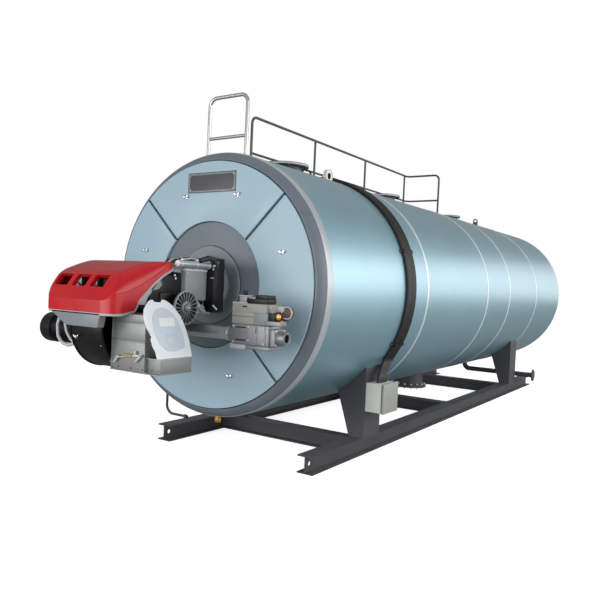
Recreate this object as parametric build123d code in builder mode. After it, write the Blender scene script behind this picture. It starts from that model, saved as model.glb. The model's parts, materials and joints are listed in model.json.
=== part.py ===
from build123d import *
from math import acos, atan2, cos, degrees, radians, sin, sqrt
import os

# A horizontal fire-tube boiler with its gas burner, on a skid of rolled H beams.
# Millimetres. The boiler axis runs front to back along Y, the burner is at the
# front (-Y), Z is up and the floor is z = 0. The origin is on the floor, on the
# boiler's centre plane, half way along its whole length.

os.makedirs("parts", exist_ok=True)

# Main sizes
shell_radius = 1100
shell_clearance = 400
axis_height = shell_radius + shell_clearance
boiler_length = 8205
burner_reach = 1254
flue_reach = 160
cladding_wall = 90
seat_gap = 0.3

whole_length = burner_reach + boiler_length + flue_reach
door_y = burner_reach - whole_length / 2

# Front of the boiler, distances behind the face of the door panels
door_rim = 82
door_panel_thickness = 40
door_panel_radius = shell_radius - door_rim
door_panel_gap = 22
door_panel_edge = 3
port_opening_radius = 524
port_ring_gap = 4
port_recess = 24
burner_plate_radius = 322
burner_plate_step = 16
burner_plate_edge = 5
neck_clearance = 5
front_ring_gap = 8
front_ring_inner = door_panel_radius + front_ring_gap
front_ring_lip = 8
front_ring_knuckle = 30
front_ring_outer = shell_radius - 6
front_ring_face = 14
front_ring_depth = 68
front_trim_width = 74
front_trim_outer = shell_radius + 2
front_trim_seat = 60
panel_knob_radius = 13
panel_knob_height = 18
knob_inset = 238
knob_reach = door_panel_radius - knob_inset
knob_spread_angle = 49

# Nameplate, left blank
nameplate_width = 508
nameplate_height = 166
nameplate_thickness = 4
nameplate_corner = 6
nameplate_drop = 257

# Cladding courses and the trim bands over their joints
front_course_end = 2059
rear_course_reaches = [4165, 3169, 1658]
course_ends = [front_course_end] + [boiler_length - reach for reach in rear_course_reaches]
trim_band_width = 40
trim_band_thickness = 3

# Rear of the boiler
rear_rim_width = 70
rear_rim_round = 24
rear_rim_wall = 110
rear_cover_recess = 20
rear_cover_thickness = 30
flue_radius = 225
flue_wall = 6
flue_rise = 380
flue_flange_radius = 280
flue_flange_thickness = 16
flue_bolt_circle = 520
flue_bolt_hole = 9
flue_bolt_count = 12

# Skid
beam_width = 150
beam_height = 150
beam_web = 8
beam_flange = 11
skid_inset = 313
skid_centre = shell_radius - skid_inset
skid_start = 374
skid_end = boiler_length - 725
lifting_hole_radius = 20
lifting_hole_inset = 68

# Saddles
saddle_length = 331
front_saddle_start = 1253
rear_saddle_start = skid_end - 1352
saddle_plate = 14
saddle_pad = 12
saddle_inner_reach = skid_centre - 204
cross_beam_faces = [front_saddle_start - 63, 3690, rear_saddle_start - 138]

# Top nozzles: distance behind the door face, flange radius, flange thickness,
# bolt circle diameter, bolt hole radius, pipe radius
nozzle_stand = 66
nozzle_wall = 9
top_nozzles = {
    "safety_valve_nozzle": (1056, 230, 28, 410, 13, 162),
    "steam_nozzle": (3234, 202, 26, 355, 13, 137),
    "rear_nozzle": (boiler_length - 2661, 170, 24, 295, 11, 110),
}
nozzle_bolt_count = 12
nozzle_first_bolt = 15
vent_y = boiler_length - 285
vent_radius = 30
vent_height = 34
lug_y = boiler_length - 1385
lug_width = 74
lug_height = 150
lug_thickness = 24
lug_hole_radius = 22

# Pressure gauge on its stem, with the siphon pipe from the first nozzle
gauge_y = 1925
gauge_x = -30
gauge_radius = 75
gauge_depth = 48
gauge_lift = 96
stem_radius = 12
siphon_radius = 9
siphon_lift = 1
siphon_rise = 80
siphon_bend = 24
siphon_steps = [150, 230, 330, 430]

# Handrail and the hoop at the top of the ladder
rail_tube_radius = 13.5
hoop_tube_radius = 17
rail_x = -440
rail_return_x = 44
rail_top = shell_radius + 583
rail_lower = shell_radius + 220
rail_start = 1096
rail_corner = 4950
rail_posts = [2310, 3575, 4840]
rail_bend = 70
hoop_y = 440
hoop_left = -429
hoop_right = 0
hoop_bend = 90

# Harness round the right side: each cable leaves the shell at an angle, then bends forward to the box
cable_radius = 15
cable_pitch = 32
cable_count = 6
harness_y = 1600
harness_start_angle = 76
harness_leave_angle = -31
harness_tail = 100
harness_bend = 72
cable_entry_pitch = 29
cable_entry_reach = 86
cable_entry_rise = 70
clamp_angles = [20, -26]
clamp_width = 30
clamp_thickness = 5
clamp_leg = 12
junction_box_drop = 262
junction_box_depth = 183
junction_box_width = 300
junction_box_height = 262
junction_box_start = 1262
box_door_thickness = 20
box_door_lip = 6
box_door_round = 4
gland_radius = 13
gland_length = 34
gland_inset = 75
gland_drop = 130

# Pipes and nozzles under the shell
bottom_nozzle_y = 4290
bottom_nozzle_radius = 240
bottom_nozzle_neck = 195
bottom_nozzle_drop = 187
bottom_nozzle_flange = 34
blowdown_y = skid_end - 825
blowdown_radius = 38
blowdown_z = -shell_radius - 143
blowdown_bend = 80
blowdown_flange_radius = 92.5
blowdown_flange_thickness = 20
blowdown_reach = skid_centre + 309
blowdown_bolt_circle = 145
blowdown_bolt_hole = 9
blowdown_bolt_count = 4
drain_plug_y = 209
drain_boss_radius = 26
drain_boss_length = 38
drain_head_radius = 33
drain_head_length = 36
left_drain_x = 330 - shell_radius
left_drain_y = 385
left_drain_radius = 12
left_drain_z = -shell_radius - 132
left_drain_bend = 78
left_drain_run = 260

# Burner hood: a hollow shell with its right and left sides cut away behind a slanting edge.
# The hood's points are distance behind its front, height above the boiler axis.
hood_left = -462
hood_right = 262
hood_front = -burner_reach
hood_length = 554
hood_tail = hood_front + hood_length
hood_bottom = -209
hood_crease = (14, -122)
hood_belly = (134, 26)
hood_shoulder = (300, 142)
hood_top = 158
hood_tail_lip = 106
hood_side_hollow = (376, 0)
hood_side_break = (242, -118)
hood_side_foot = (206, -184)
hood_flat = 64
hood_wall = 8
hood_round = 40
hood_window_width = 136
hood_window_height = 110
hood_window_pitch = 189
hood_window_x = -150
hood_window_middle = (92, 5)
hood_window_round = 10
tray_height = 100
tray_top = (-363, 153)
tray_floor = (-215, 130)

# Burner casing, fan and air intake, placed behind the hood's front; the neck takes up the rest
casing_length = 924
casing_start = 354
body_half_width = 240
body_front = hood_front + casing_start
body_back = hood_front + casing_length
body_bottom = -190
body_top = 78
body_round = 30
neck_radius = 215
neck_wall = 12
scroll_setback = 374
scroll_centre_y = hood_front + scroll_setback
scroll_centre_z = -308
scroll_radius = 308
scroll_left = -220
scroll_right = 106
scroll_round = 14
motor_setback = 324
motor_y = hood_front + motor_setback
motor_z = -372
motor_radius = 114
motor_left = -785
motor_flange_radius = 150
motor_flange_left = -330
motor_round = 40
intake_setback = 156
intake_depth = 328
intake_left = scroll_right
intake_right = 424
intake_front = hood_front + intake_setback
intake_back = intake_front + intake_depth
intake_bottom = -588
intake_top = -209
ledge_right = 545
ledge_height = 100
ledge_setback = 30
cover_crown = -110
cover_thickness = 12
# Points of the cover's outline: distance behind its middle, distance down the slope
cover_top_left = (-116, 0)
cover_top_right = (-14, 0)
cover_shoulder = (100, 85)
cover_right_waist = (155, 267)
cover_lobe = (-224, 121)
cover_left_waist = (-184, 247)
cover_foot_inset = 8
cover_notch_width = 66
cover_notch_depth = 15
cover_notch_middle = -77

# Control box, black housing, air tube and cam wheel beside the neck
tube_radius = 26
tube_x = 300
tube_z = 148
tube_gap = 11
grey_box_left = 33
grey_box_right = 275
grey_box_depth = 235
grey_box_front = body_back - grey_box_depth
grey_box_back = body_back
grey_box_bottom = -121
grey_box_top = 116
black_box_right = 352
black_box_half_height = 204
black_box_depth = 110
black_box_back = body_back + black_box_depth
cam_x = 310
cam_setback = 275
cam_y = body_back - cam_setback
cam_z = -168
cam_radius = 127
cam_thickness = 20
cam_hub_radius = 30
cam_hub_proud = 22
cam_slots = 16
cam_slot_circle = 86
cam_slot_length = 53
cam_slot_width = 13

# Gas train
gas_setback = 55
gas_y = body_back - gas_setback
gas_z = -341
gas_pipe_radius = 48
gas_pipe_left = -40
gas_pipe_bend = 70
valve_left = 632
valve_body_right = 957
valve_right = 1000
valve_half_depth = 75
valve_bottom = -432
valve_top = -262
valve_round = 12
valve_foot = 22
valve_foot_proud = 8
end_flange_half = 62
coil_box_right = 930
coil_box_top = -112
coil_box_inset = 10
second_box_left = 818
second_box_right = 940
second_box_top = -172
second_box_inset = 4
gas_port_radius = 43
gas_port_bore = 29.5
gas_port_length = 62
gas_bore_depth = 20
switch_setback = 45
switch_y = gas_y - switch_setback
switch_half_depth = 34
switch_foot_right = 1056
switch_foot_top = -222
switch_left = 948
switch_right = 1010
switch_top = -168
switch_cap_radius = 24
switch_cap_length = 44
switch_seal = (1094, -160)
switch_seal_radius = 44
switch_arm_height = 44


def across(y):
    """Plane across the boiler, y behind the door face, centred on the axis, facing the front."""
    return Plane(origin=(0, door_y + y, axis_height), x_dir=(1, 0, 0), z_dir=(0, -1, 0))


def beside(x):
    """Plane along the boiler at x, facing the right; its own x runs to the back, its y up."""
    return Plane(origin=(x, door_y, axis_height), x_dir=(0, 1, 0), z_dir=(1, 0, 0))


def level(z):
    """Level plane z above the boiler axis, with the door face at y = 0."""
    return Plane(origin=(0, door_y, axis_height + z), x_dir=(1, 0, 0), z_dir=(0, 0, 1))


def shell_top(x, radius=shell_radius):
    """Height above the axis of a circle round it, at x."""
    return sqrt(radius**2 - x**2)


def block(x_range, y_range, z_range, mode=Mode.ADD):
    """A box between two x, two y behind the door face and two z above the axis."""
    middle = [(low + high) / 2 for low, high in (x_range, y_range, z_range)]
    place = (middle[0], door_y + middle[1], axis_height + middle[2])
    with Locations(place):
        Box(
            x_range[1] - x_range[0],
            y_range[1] - y_range[0],
            z_range[1] - z_range[0],
            mode=mode,
        )


def disc(y_front, y_back, outer, inner=0, mode=Mode.ADD, place=(0, 0)):
    """A disc or ring round an axis along the boiler, between two distances behind the door."""
    with BuildSketch(across(y_back)) as section:
        with Locations(place):
            Circle(outer)
            if inner:
                Circle(inner, mode=Mode.SUBTRACT)
    extrude(section.sketch, amount=y_back - y_front, mode=mode)


def rod(start, end, radius, mode=Mode.ADD):
    """A round bar between two points given as x, y behind the door and z above the axis."""
    first = Vector(start[0], start[1] + door_y, start[2] + axis_height)
    last = Vector(end[0], end[1] + door_y, end[2] + axis_height)
    with BuildSketch(Plane(origin=first, z_dir=last - first)) as section:
        Circle(radius)
    extrude(section.sketch, amount=(last - first).length, mode=mode)


def bent_tube(points, bend, radius, mode=Mode.ADD):
    """A tube along straight runs, bent at each inner point."""
    path_points = [(x, y + door_y, z + axis_height) for x, y, z in points]
    with BuildLine() as route:
        FilletPolyline(*path_points, radius=bend)
    start_plane = Plane(origin=route.line @ 0, z_dir=route.line % 0)
    with BuildSketch(start_plane) as section:
        Circle(radius)
    sweep(section.sketch, path=route.line, mode=mode)


def cut_at_shell(clearance=seat_gap):
    """Cuts away what lies inside the cladding."""
    with BuildSketch(across(boiler_length)) as inside:
        Circle(shell_radius + clearance)
    extrude(inside.sketch, amount=boiler_length, mode=Mode.SUBTRACT)


def ring_sector(inner, outer, start_angle, sweep_angle):
    """Sketch of a slice of a ring round the boiler axis, angles from +X towards the top."""
    with BuildLine() as outline:
        for radius in (inner, outer):
            CenterArc((0, 0), radius, start_angle, sweep_angle)
        for angle in (start_angle, start_angle + sweep_angle):
            direction = (cos(radians(angle)), sin(radians(angle)))
            Line(
                (inner * direction[0], inner * direction[1]),
                (outer * direction[0], outer * direction[1]),
            )
    make_face(outline.line.edges())


def finish(sub_part, name):
    """Labels a finished piece and writes it."""
    sub_part.part.label = name
    export_step(sub_part.part, f"parts/{name}.step")


# Door: a dark plate, four blue sector panels on it, and the ring round them
door_back = front_ring_face + front_ring_depth
trim_back = door_back + front_trim_width

with BuildPart() as door_plate:
    disc(
        door_panel_thickness,
        door_back,
        front_ring_inner - seat_gap,
        inner=neck_radius + neck_clearance,
    )
finish(door_plate, "door_plate")

with BuildPart() as door_panels:
    with BuildSketch(across(door_panel_thickness)):
        Circle(door_panel_radius)
        Circle(port_opening_radius, mode=Mode.SUBTRACT)
        for turn in (45, -45):
            Rectangle(
                3 * door_panel_radius, door_panel_gap, rotation=turn, mode=Mode.SUBTRACT
            )
    extrude(amount=door_panel_thickness)
    chamfer(door_panels.edges().group_by(Axis.Y)[0], door_panel_edge)
finish(door_panels, "door_panels")

with BuildPart() as panel_knobs:
    for turn in range(4):
        for side in (-1, 1):
            angle = radians(turn * 90 + side * (45 - knob_spread_angle / 2))
            place = (knob_reach * cos(angle), knob_reach * sin(angle))
            disc(-panel_knob_height, 0, panel_knob_radius, place=place)
finish(panel_knobs, "panel_knobs")

with BuildPart() as front_ring:
    with BuildSketch(beside(0)) as ring_section:
        with BuildLine():
            lip_end = (front_ring_face, front_ring_inner + front_ring_lip)
            knuckle = (door_back - front_ring_knuckle, front_ring_outer - front_ring_knuckle / 2)
            Polyline(
                (front_ring_face, front_ring_inner),
                lip_end,
                knuckle,
                (door_back, front_ring_outer),
                (door_back, front_ring_inner),
                close=True,
            )
        make_face()
    revolve(axis=Axis((0, door_y, axis_height), (0, 1, 0)))
finish(front_ring, "front_ring")

with BuildPart() as front_trim:
    disc(door_back, trim_back, front_trim_outer, inner=front_ring_inner - front_trim_seat)
finish(front_trim, "front_trim")

with BuildPart() as burner_port_ring:
    disc(
        port_recess,
        door_panel_thickness,
        port_opening_radius - port_ring_gap,
        inner=burner_plate_radius,
    )
finish(burner_port_ring, "burner_port_ring")

with BuildPart() as burner_plate:
    plate_face = port_recess - burner_plate_step
    disc(plate_face, door_panel_thickness, burner_plate_radius - seat_gap, inner=neck_radius)
    rim = burner_plate.edges().group_by(Axis.Y)[0].sort_by(SortBy.RADIUS)[-1]
    chamfer(rim, burner_plate_edge)
finish(burner_plate, "burner_plate")

with BuildPart() as nameplate:
    with BuildSketch(across(0)):
        with Locations((0, shell_radius - nameplate_drop)):
            RectangleRounded(nameplate_width, nameplate_height, nameplate_corner)
    extrude(amount=nameplate_thickness)
finish(nameplate, "nameplate")

# Cladding with its trim bands
rear_face = boiler_length - rear_rim_width
course_edges = [trim_back] + course_ends + [rear_face]
for index in range(len(course_edges) - 1):
    with BuildPart() as cladding:
        disc(
            course_edges[index],
            course_edges[index + 1],
            shell_radius,
            inner=shell_radius - cladding_wall,
        )
    finish(cladding, f"cladding_course_{index + 1}")

with BuildPart() as trim_bands:
    for joint in course_ends:
        disc(
            joint - trim_band_width / 2,
            joint + trim_band_width / 2,
            shell_radius + seat_gap + trim_band_thickness,
            inner=shell_radius + seat_gap,
        )
finish(trim_bands, "trim_bands")

# Rear rim, cover and flue outlet
with BuildPart() as rear_rim:
    disc(rear_face, boiler_length, shell_radius, inner=shell_radius - rear_rim_wall)
    outer_edge = rear_rim.edges().group_by(Axis.Y)[-1].sort_by(SortBy.RADIUS)[-1]
    fillet(outer_edge, rear_rim_round)
finish(rear_rim, "rear_rim")

cover_back = boiler_length - rear_cover_recess
with BuildPart() as rear_cover:
    disc(
        cover_back - rear_cover_thickness,
        cover_back,
        shell_radius - rear_rim_wall - seat_gap,
    )
    disc(
        cover_back - rear_cover_thickness,
        cover_back,
        flue_radius - flue_wall,
        mode=Mode.SUBTRACT,
        place=(0, flue_rise),
    )
finish(rear_cover, "rear_cover")

flue_end = boiler_length + flue_reach
with BuildPart() as flue_outlet:
    disc(cover_back, flue_end, flue_radius, inner=flue_radius - flue_wall, place=(0, flue_rise))
    disc(
        flue_end - flue_flange_thickness,
        flue_end,
        flue_flange_radius,
        inner=flue_radius - flue_wall,
        place=(0, flue_rise),
    )
    with BuildSketch(across(flue_end)):
        with Locations((0, flue_rise)):
            with PolarLocations(flue_bolt_circle / 2, flue_bolt_count):
                Circle(flue_bolt_hole)
    extrude(amount=flue_flange_thickness, mode=Mode.SUBTRACT)
finish(flue_outlet, "flue_outlet")

# Skid of H beams: two runners and three cross beams coped into them
floor_z = -axis_height
skid_top = floor_z + beam_height


for side, centre in (("left", -skid_centre), ("right", skid_centre)):
    with BuildPart() as skid_beam:
        with BuildSketch(across(skid_end)):
            with Locations((centre, 0)):
                with Locations((0, floor_z + beam_flange / 2), (0, skid_top - beam_flange / 2)):
                    Rectangle(beam_width, beam_flange)
                with Locations((0, floor_z + beam_height / 2)):
                    Rectangle(beam_web, beam_height - 2 * beam_flange)
        extrude(amount=skid_end - skid_start)
        hole_places = [
            (skid_start + lifting_hole_inset, floor_z + beam_height / 2),
            (skid_end - lifting_hole_inset, floor_z + beam_height / 2),
        ]
        with BuildSketch(beside(centre - beam_web / 2)):
            with Locations(*hole_places):
                Circle(lifting_hole_radius)
        extrude(amount=beam_web, mode=Mode.SUBTRACT)
    finish(skid_beam, f"skid_beam_{side}")

cross_reach = skid_centre - beam_width / 2
web_reach = skid_centre - beam_web / 2
with BuildPart() as cross_beams:
    for face in cross_beam_faces:
        middle = face + beam_width / 2
        for bottom in (floor_z, skid_top - beam_flange):
            block(
                (-cross_reach, cross_reach),
                (face, face + beam_width),
                (bottom, bottom + beam_flange),
            )
        block(
            (-web_reach, web_reach),
            (middle - beam_web / 2, middle + beam_web / 2),
            (floor_z + beam_flange, skid_top - beam_flange),
        )
finish(cross_beams, "cross_beams")

# Saddles: end plates, an outer plate and a curved pad under the shell
saddle_outer = skid_centre + beam_width / 2
saddle_foot = skid_centre - beam_width / 2
pad_inner = shell_radius + seat_gap
pad_outer = pad_inner + saddle_pad


def saddle_outline(side, radius):
    """End plate's outline: straight sides and a top that follows the shell."""
    outer_top = (side * saddle_outer, -shell_top(saddle_outer, radius))
    inner_top = (side * saddle_inner_reach, -shell_top(saddle_inner_reach, radius))
    middle_x = (saddle_outer + saddle_inner_reach) / 2
    middle_top = (side * middle_x, -shell_top(middle_x, radius))
    with BuildLine() as outline:
        Polyline(
            inner_top,
            (side * saddle_foot, skid_top),
            (side * saddle_outer, skid_top),
            outer_top,
        )
        ThreePointArc(outer_top, middle_top, inner_top)
    make_face(outline.line.edges())


saddle_starts = {"front": front_saddle_start, "rear": rear_saddle_start}
pad_start = degrees(acos(saddle_outer / pad_outer))
pad_end = degrees(acos(saddle_inner_reach / pad_outer))
for place, start in saddle_starts.items():
    end = start + saddle_length
    with BuildPart() as saddles:
        for side in (-1, 1):
            for plate_back in (start + saddle_plate, end):
                with BuildSketch(across(plate_back)):
                    saddle_outline(side, pad_outer)
                extrude(amount=saddle_plate)
            outer_x = sorted((side * (saddle_outer - saddle_plate), side * saddle_outer))
            block(outer_x, (start, end), (skid_top, -shell_top(saddle_outer, pad_outer)))
            foot_x = sorted((side * saddle_foot, side * saddle_outer))
            block(foot_x, (start, end), (skid_top, skid_top + saddle_plate))
            first_angle = -pad_end if side > 0 else 180 + pad_start
            with BuildSketch(across(end)):
                ring_sector(pad_inner, pad_outer, first_angle, pad_end - pad_start)
            extrude(amount=saddle_length)
    finish(saddles, f"saddles_{place}")

# Flanged nozzles along the top
for name, (y, rim, thickness, bolt_circle, bolt_hole, pipe) in top_nozzles.items():
    with BuildPart() as nozzle:
        top = shell_radius + nozzle_stand
        with BuildSketch(level(0)):
            with Locations((0, y)):
                Circle(pipe)
        extrude(amount=top)
        with BuildSketch(level(top - thickness)):
            with Locations((0, y)):
                Circle(rim)
        extrude(amount=thickness)
        cut_at_shell()
        with BuildSketch(level(0)):
            with Locations((0, y)):
                Circle(pipe - nozzle_wall)
        extrude(amount=top, mode=Mode.SUBTRACT)
        with BuildSketch(level(top - thickness)):
            with Locations((0, y)):
                with PolarLocations(
                    bolt_circle / 2, nozzle_bolt_count, start_angle=nozzle_first_bolt
                ):
                    Circle(bolt_hole)
        extrude(amount=thickness, mode=Mode.SUBTRACT)
    finish(nozzle, name)

with BuildPart() as vent_stub:
    rod((0, vent_y, 0), (0, vent_y, shell_radius + vent_height), vent_radius)
    cut_at_shell()
finish(vent_stub, "vent_stub")

with BuildPart() as lifting_lug:
    half = lug_width / 2
    lug_foot = shell_radius - half
    top_centre = (0, shell_radius + lug_height - half)
    with BuildSketch(across(lug_y + lug_thickness / 2)):
        with BuildLine():
            Line((-half, top_centre[1]), (-half, lug_foot))
            Line((-half, lug_foot), (half, lug_foot))
            Line((half, lug_foot), (half, top_centre[1]))
            CenterArc(top_centre, half, 0, 180)
        make_face()
        with Locations(top_centre):
            Circle(lug_hole_radius, mode=Mode.SUBTRACT)
    extrude(amount=lug_thickness)
    cut_at_shell()
finish(lifting_lug, "lifting_lug")

# Pressure gauge and siphon
gauge_z = shell_radius + gauge_lift
with BuildPart() as pressure_gauge:
    with BuildSketch(beside(gauge_x - gauge_depth / 2)):
        with Locations((gauge_y, gauge_z)):
            Circle(gauge_radius)
    extrude(amount=gauge_depth)
    rod((gauge_x, gauge_y, 0), (gauge_x, gauge_y, gauge_z), stem_radius)
    cut_at_shell()
finish(pressure_gauge, "pressure_gauge")

first_nozzle = top_nozzles["safety_valve_nozzle"]
siphon_start = first_nozzle[0] + first_nozzle[5]
siphon_z = shell_radius + siphon_radius + siphon_lift
rise_start, rise_end, fall_start, fall_end = [siphon_start + step for step in siphon_steps]
with BuildPart() as gauge_siphon:
    bent_tube(
        [
            (gauge_x, siphon_start + seat_gap, siphon_z),
            (gauge_x, rise_start, siphon_z),
            (gauge_x, rise_end, siphon_z + siphon_rise),
            (gauge_x, fall_start, siphon_z + siphon_rise),
            (gauge_x, fall_end, siphon_z),
            (gauge_x, gauge_y - stem_radius - seat_gap, siphon_z),
        ],
        siphon_bend,
        siphon_radius,
    )
finish(gauge_siphon, "gauge_siphon")

# Handrail: top rail, lower rail and posts, and the ladder hoop at the front
def post_foot(x):
    """A height inside the cladding, where a post is cut to its curve."""
    return shell_top(x, shell_radius - cladding_wall)


with BuildPart() as handrail_top:
    bent_tube(
        [
            (rail_x, rail_start, post_foot(rail_x)),
            (rail_x, rail_start, rail_top),
            (rail_x, rail_corner, rail_top),
            (rail_return_x, rail_corner, rail_top),
            (rail_return_x, rail_corner, post_foot(rail_return_x)),
        ],
        rail_bend,
        rail_tube_radius,
    )
    cut_at_shell()
finish(handrail_top, "handrail_top")

rail_seat = rail_tube_radius + seat_gap
with BuildPart() as handrail_lower:
    bent_tube(
        [
            (rail_x, rail_start + rail_seat, rail_lower),
            (rail_x, rail_corner, rail_lower),
            (rail_return_x - rail_seat, rail_corner, rail_lower),
        ],
        rail_bend,
        rail_tube_radius,
    )
finish(handrail_lower, "handrail_lower")

with BuildPart() as handrail_posts:
    for y in rail_posts:
        rod((rail_x, y, post_foot(rail_x)), (rail_x, y, rail_lower - rail_seat), rail_tube_radius)
        rod(
            (rail_x, y, rail_lower + rail_seat),
            (rail_x, y, rail_top - rail_seat),
            rail_tube_radius,
        )
    cut_at_shell()
finish(handrail_posts, "handrail_posts")

with BuildPart() as ladder_hoop:
    bent_tube(
        [
            (hoop_left, hoop_y, post_foot(hoop_left)),
            (hoop_left, hoop_y, rail_top),
            (hoop_right, hoop_y, rail_top),
            (hoop_right, hoop_y, post_foot(hoop_right)),
        ],
        hoop_bend,
        hoop_tube_radius,
    )
    rod((hoop_left, hoop_y, rail_lower), (hoop_right, hoop_y, rail_lower), rail_tube_radius)
    cut_at_shell()
finish(ladder_hoop, "ladder_hoop")

# Junction box on the outer plate of the front right saddle, hung below where the harness leaves
leave = radians(harness_leave_angle)
cable_lane = shell_radius + seat_gap + cable_radius
leave_point = (cable_lane * cos(leave), cable_lane * sin(leave))
box_top = leave_point[1] - junction_box_drop
box_bottom = box_top - junction_box_height
box_back = junction_box_start + junction_box_width
box_outer = saddle_outer + junction_box_depth
with BuildPart() as junction_box:
    block(
        (saddle_outer + seat_gap, box_outer - box_door_thickness),
        (junction_box_start, box_back),
        (box_bottom, box_top),
    )
    gland_x = box_outer - gland_inset
    gland_z = box_top - gland_drop
    rod((gland_x, box_back, gland_z), (gland_x, box_back + gland_length, gland_z), gland_radius)
finish(junction_box, "junction_box")

with BuildPart() as junction_box_door:
    block(
        (box_outer - box_door_thickness, box_outer),
        (junction_box_start - box_door_lip, box_back + box_door_lip),
        (box_bottom - box_door_lip, box_top + box_door_lip),
    )
    fillet(junction_box_door.edges().group_by(Axis.X)[-1], box_door_round)
finish(junction_box_door, "junction_box_door")

# Harness: cables side by side round the shell, each ending in the top of the junction box
entry_x = saddle_outer + cable_entry_reach
entry_y = (junction_box_start + box_back) / 2
harness_middle = (harness_start_angle + harness_leave_angle) / 2


def on_lane(angle, y):
    """A point on a cable's lane round the shell."""
    turn = radians(angle)
    return Vector(cable_lane * cos(turn), door_y + y, axis_height + cable_lane * sin(turn))


with BuildPart() as cable_harness:
    for lane in range(cable_count):
        lane_step = lane - (cable_count - 1) / 2
        lane_y = harness_y + lane_step * cable_pitch
        box_y = entry_y + lane_step * cable_entry_pitch
        tail_point = (
            leave_point[0] + harness_tail * sin(leave),
            door_y + lane_y,
            axis_height + leave_point[1] - harness_tail * cos(leave),
        )
        above_box = (entry_x, door_y + box_y, axis_height + box_top + cable_entry_rise)
        at_box = (entry_x, door_y + box_y, axis_height + box_top + seat_gap)
        with BuildLine() as cable_path:
            ThreePointArc(
                on_lane(harness_start_angle, lane_y),
                on_lane(harness_middle, lane_y),
                on_lane(harness_leave_angle, lane_y),
            )
            FilletPolyline(
                on_lane(harness_leave_angle, lane_y),
                tail_point,
                above_box,
                at_box,
                radius=harness_bend,
            )
        with BuildSketch(Plane(origin=cable_path.wire() @ 0, z_dir=cable_path.wire() % 0)):
            Circle(cable_radius)
        sweep(path=cable_path.wire())
finish(cable_harness, "cable_harness")

with BuildPart() as harness_clamps:
    strap_inner = cable_lane + cable_radius + seat_gap
    strap_outer = strap_inner + clamp_thickness
    strap_half = cable_count * cable_pitch / 2 + clamp_leg
    spread = degrees(clamp_width / shell_radius)
    for clamp_angle in clamp_angles:
        with BuildSketch(across(harness_y + strap_half)):
            ring_sector(strap_inner, strap_outer, clamp_angle - spread / 2, spread)
        extrude(amount=2 * strap_half)
        for leg_back in (harness_y + strap_half, harness_y - strap_half + clamp_leg):
            with BuildSketch(across(leg_back)):
                ring_sector(pad_inner, strap_outer, clamp_angle - spread / 2, spread)
            extrude(amount=clamp_leg)
finish(harness_clamps, "harness_clamps")

# Under the shell: manhole nozzle, blowdown pipe, drain plug and left drain pipe
under_shell = cladding_wall - shell_radius
with BuildPart() as bottom_nozzle:
    nozzle_end = -shell_radius - bottom_nozzle_drop
    with BuildSketch(level(nozzle_end)):
        with Locations((0, bottom_nozzle_y)):
            Circle(bottom_nozzle_neck)
    extrude(amount=shell_radius)
    with BuildSketch(level(nozzle_end)):
        with Locations((0, bottom_nozzle_y)):
            Circle(bottom_nozzle_radius)
    extrude(amount=bottom_nozzle_flange)
    cut_at_shell()
finish(bottom_nozzle, "bottom_nozzle")

with BuildPart() as blowdown_pipe:
    flange_face = blowdown_reach - blowdown_flange_thickness
    bent_tube(
        [
            (0, blowdown_y, under_shell),
            (0, blowdown_y, blowdown_z),
            (flange_face, blowdown_y, blowdown_z),
        ],
        blowdown_bend,
        blowdown_radius,
    )
    cut_at_shell()
    with BuildSketch(beside(flange_face)):
        with Locations((blowdown_y, blowdown_z)):
            Circle(blowdown_flange_radius)
            with PolarLocations(blowdown_bolt_circle / 2, blowdown_bolt_count, start_angle=45):
                Circle(blowdown_bolt_hole, mode=Mode.SUBTRACT)
    extrude(amount=blowdown_flange_thickness)
finish(blowdown_pipe, "blowdown_pipe")

with BuildPart() as drain_plug:
    boss_end = -shell_radius - drain_boss_length
    rod((0, drain_plug_y, under_shell), (0, drain_plug_y, boss_end), drain_boss_radius)
    rod(
        (0, drain_plug_y, boss_end),
        (0, drain_plug_y, boss_end - drain_head_length),
        drain_head_radius,
    )
    cut_at_shell()
finish(drain_plug, "drain_plug")

with BuildPart() as left_drain_pipe:
    bent_tube(
        [
            (left_drain_x, left_drain_y, -shell_top(left_drain_x, shell_radius - cladding_wall)),
            (left_drain_x, left_drain_y, left_drain_z),
            (left_drain_x + left_drain_run, left_drain_y, left_drain_z),
        ],
        left_drain_bend,
        left_drain_radius,
    )
    cut_at_shell()
finish(left_drain_pipe, "left_drain_pipe")

# Burner: neck through the door, casing, fan scroll with its motor
with BuildPart() as burner_neck:
    disc(body_back, plate_face, neck_radius, inner=neck_radius - neck_wall)
finish(burner_neck, "burner_neck")

body_sides = (-body_half_width, body_half_width)
with BuildPart() as burner_body:
    block(body_sides, (body_front, body_back), (body_bottom, body_top))
    fillet(burner_body.edges().filter_by(Axis.Y), body_round)
    block(
        (grey_box_left - seat_gap, 2 * body_half_width),
        (grey_box_front - seat_gap, body_back),
        (grey_box_bottom - seat_gap, 2 * body_top),
        mode=Mode.SUBTRACT,
    )
finish(burner_body, "burner_body")

with BuildPart() as control_box:
    block(
        (grey_box_left, grey_box_right),
        (grey_box_front, grey_box_back),
        (grey_box_bottom, grey_box_top),
    )
finish(control_box, "control_box")

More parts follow.
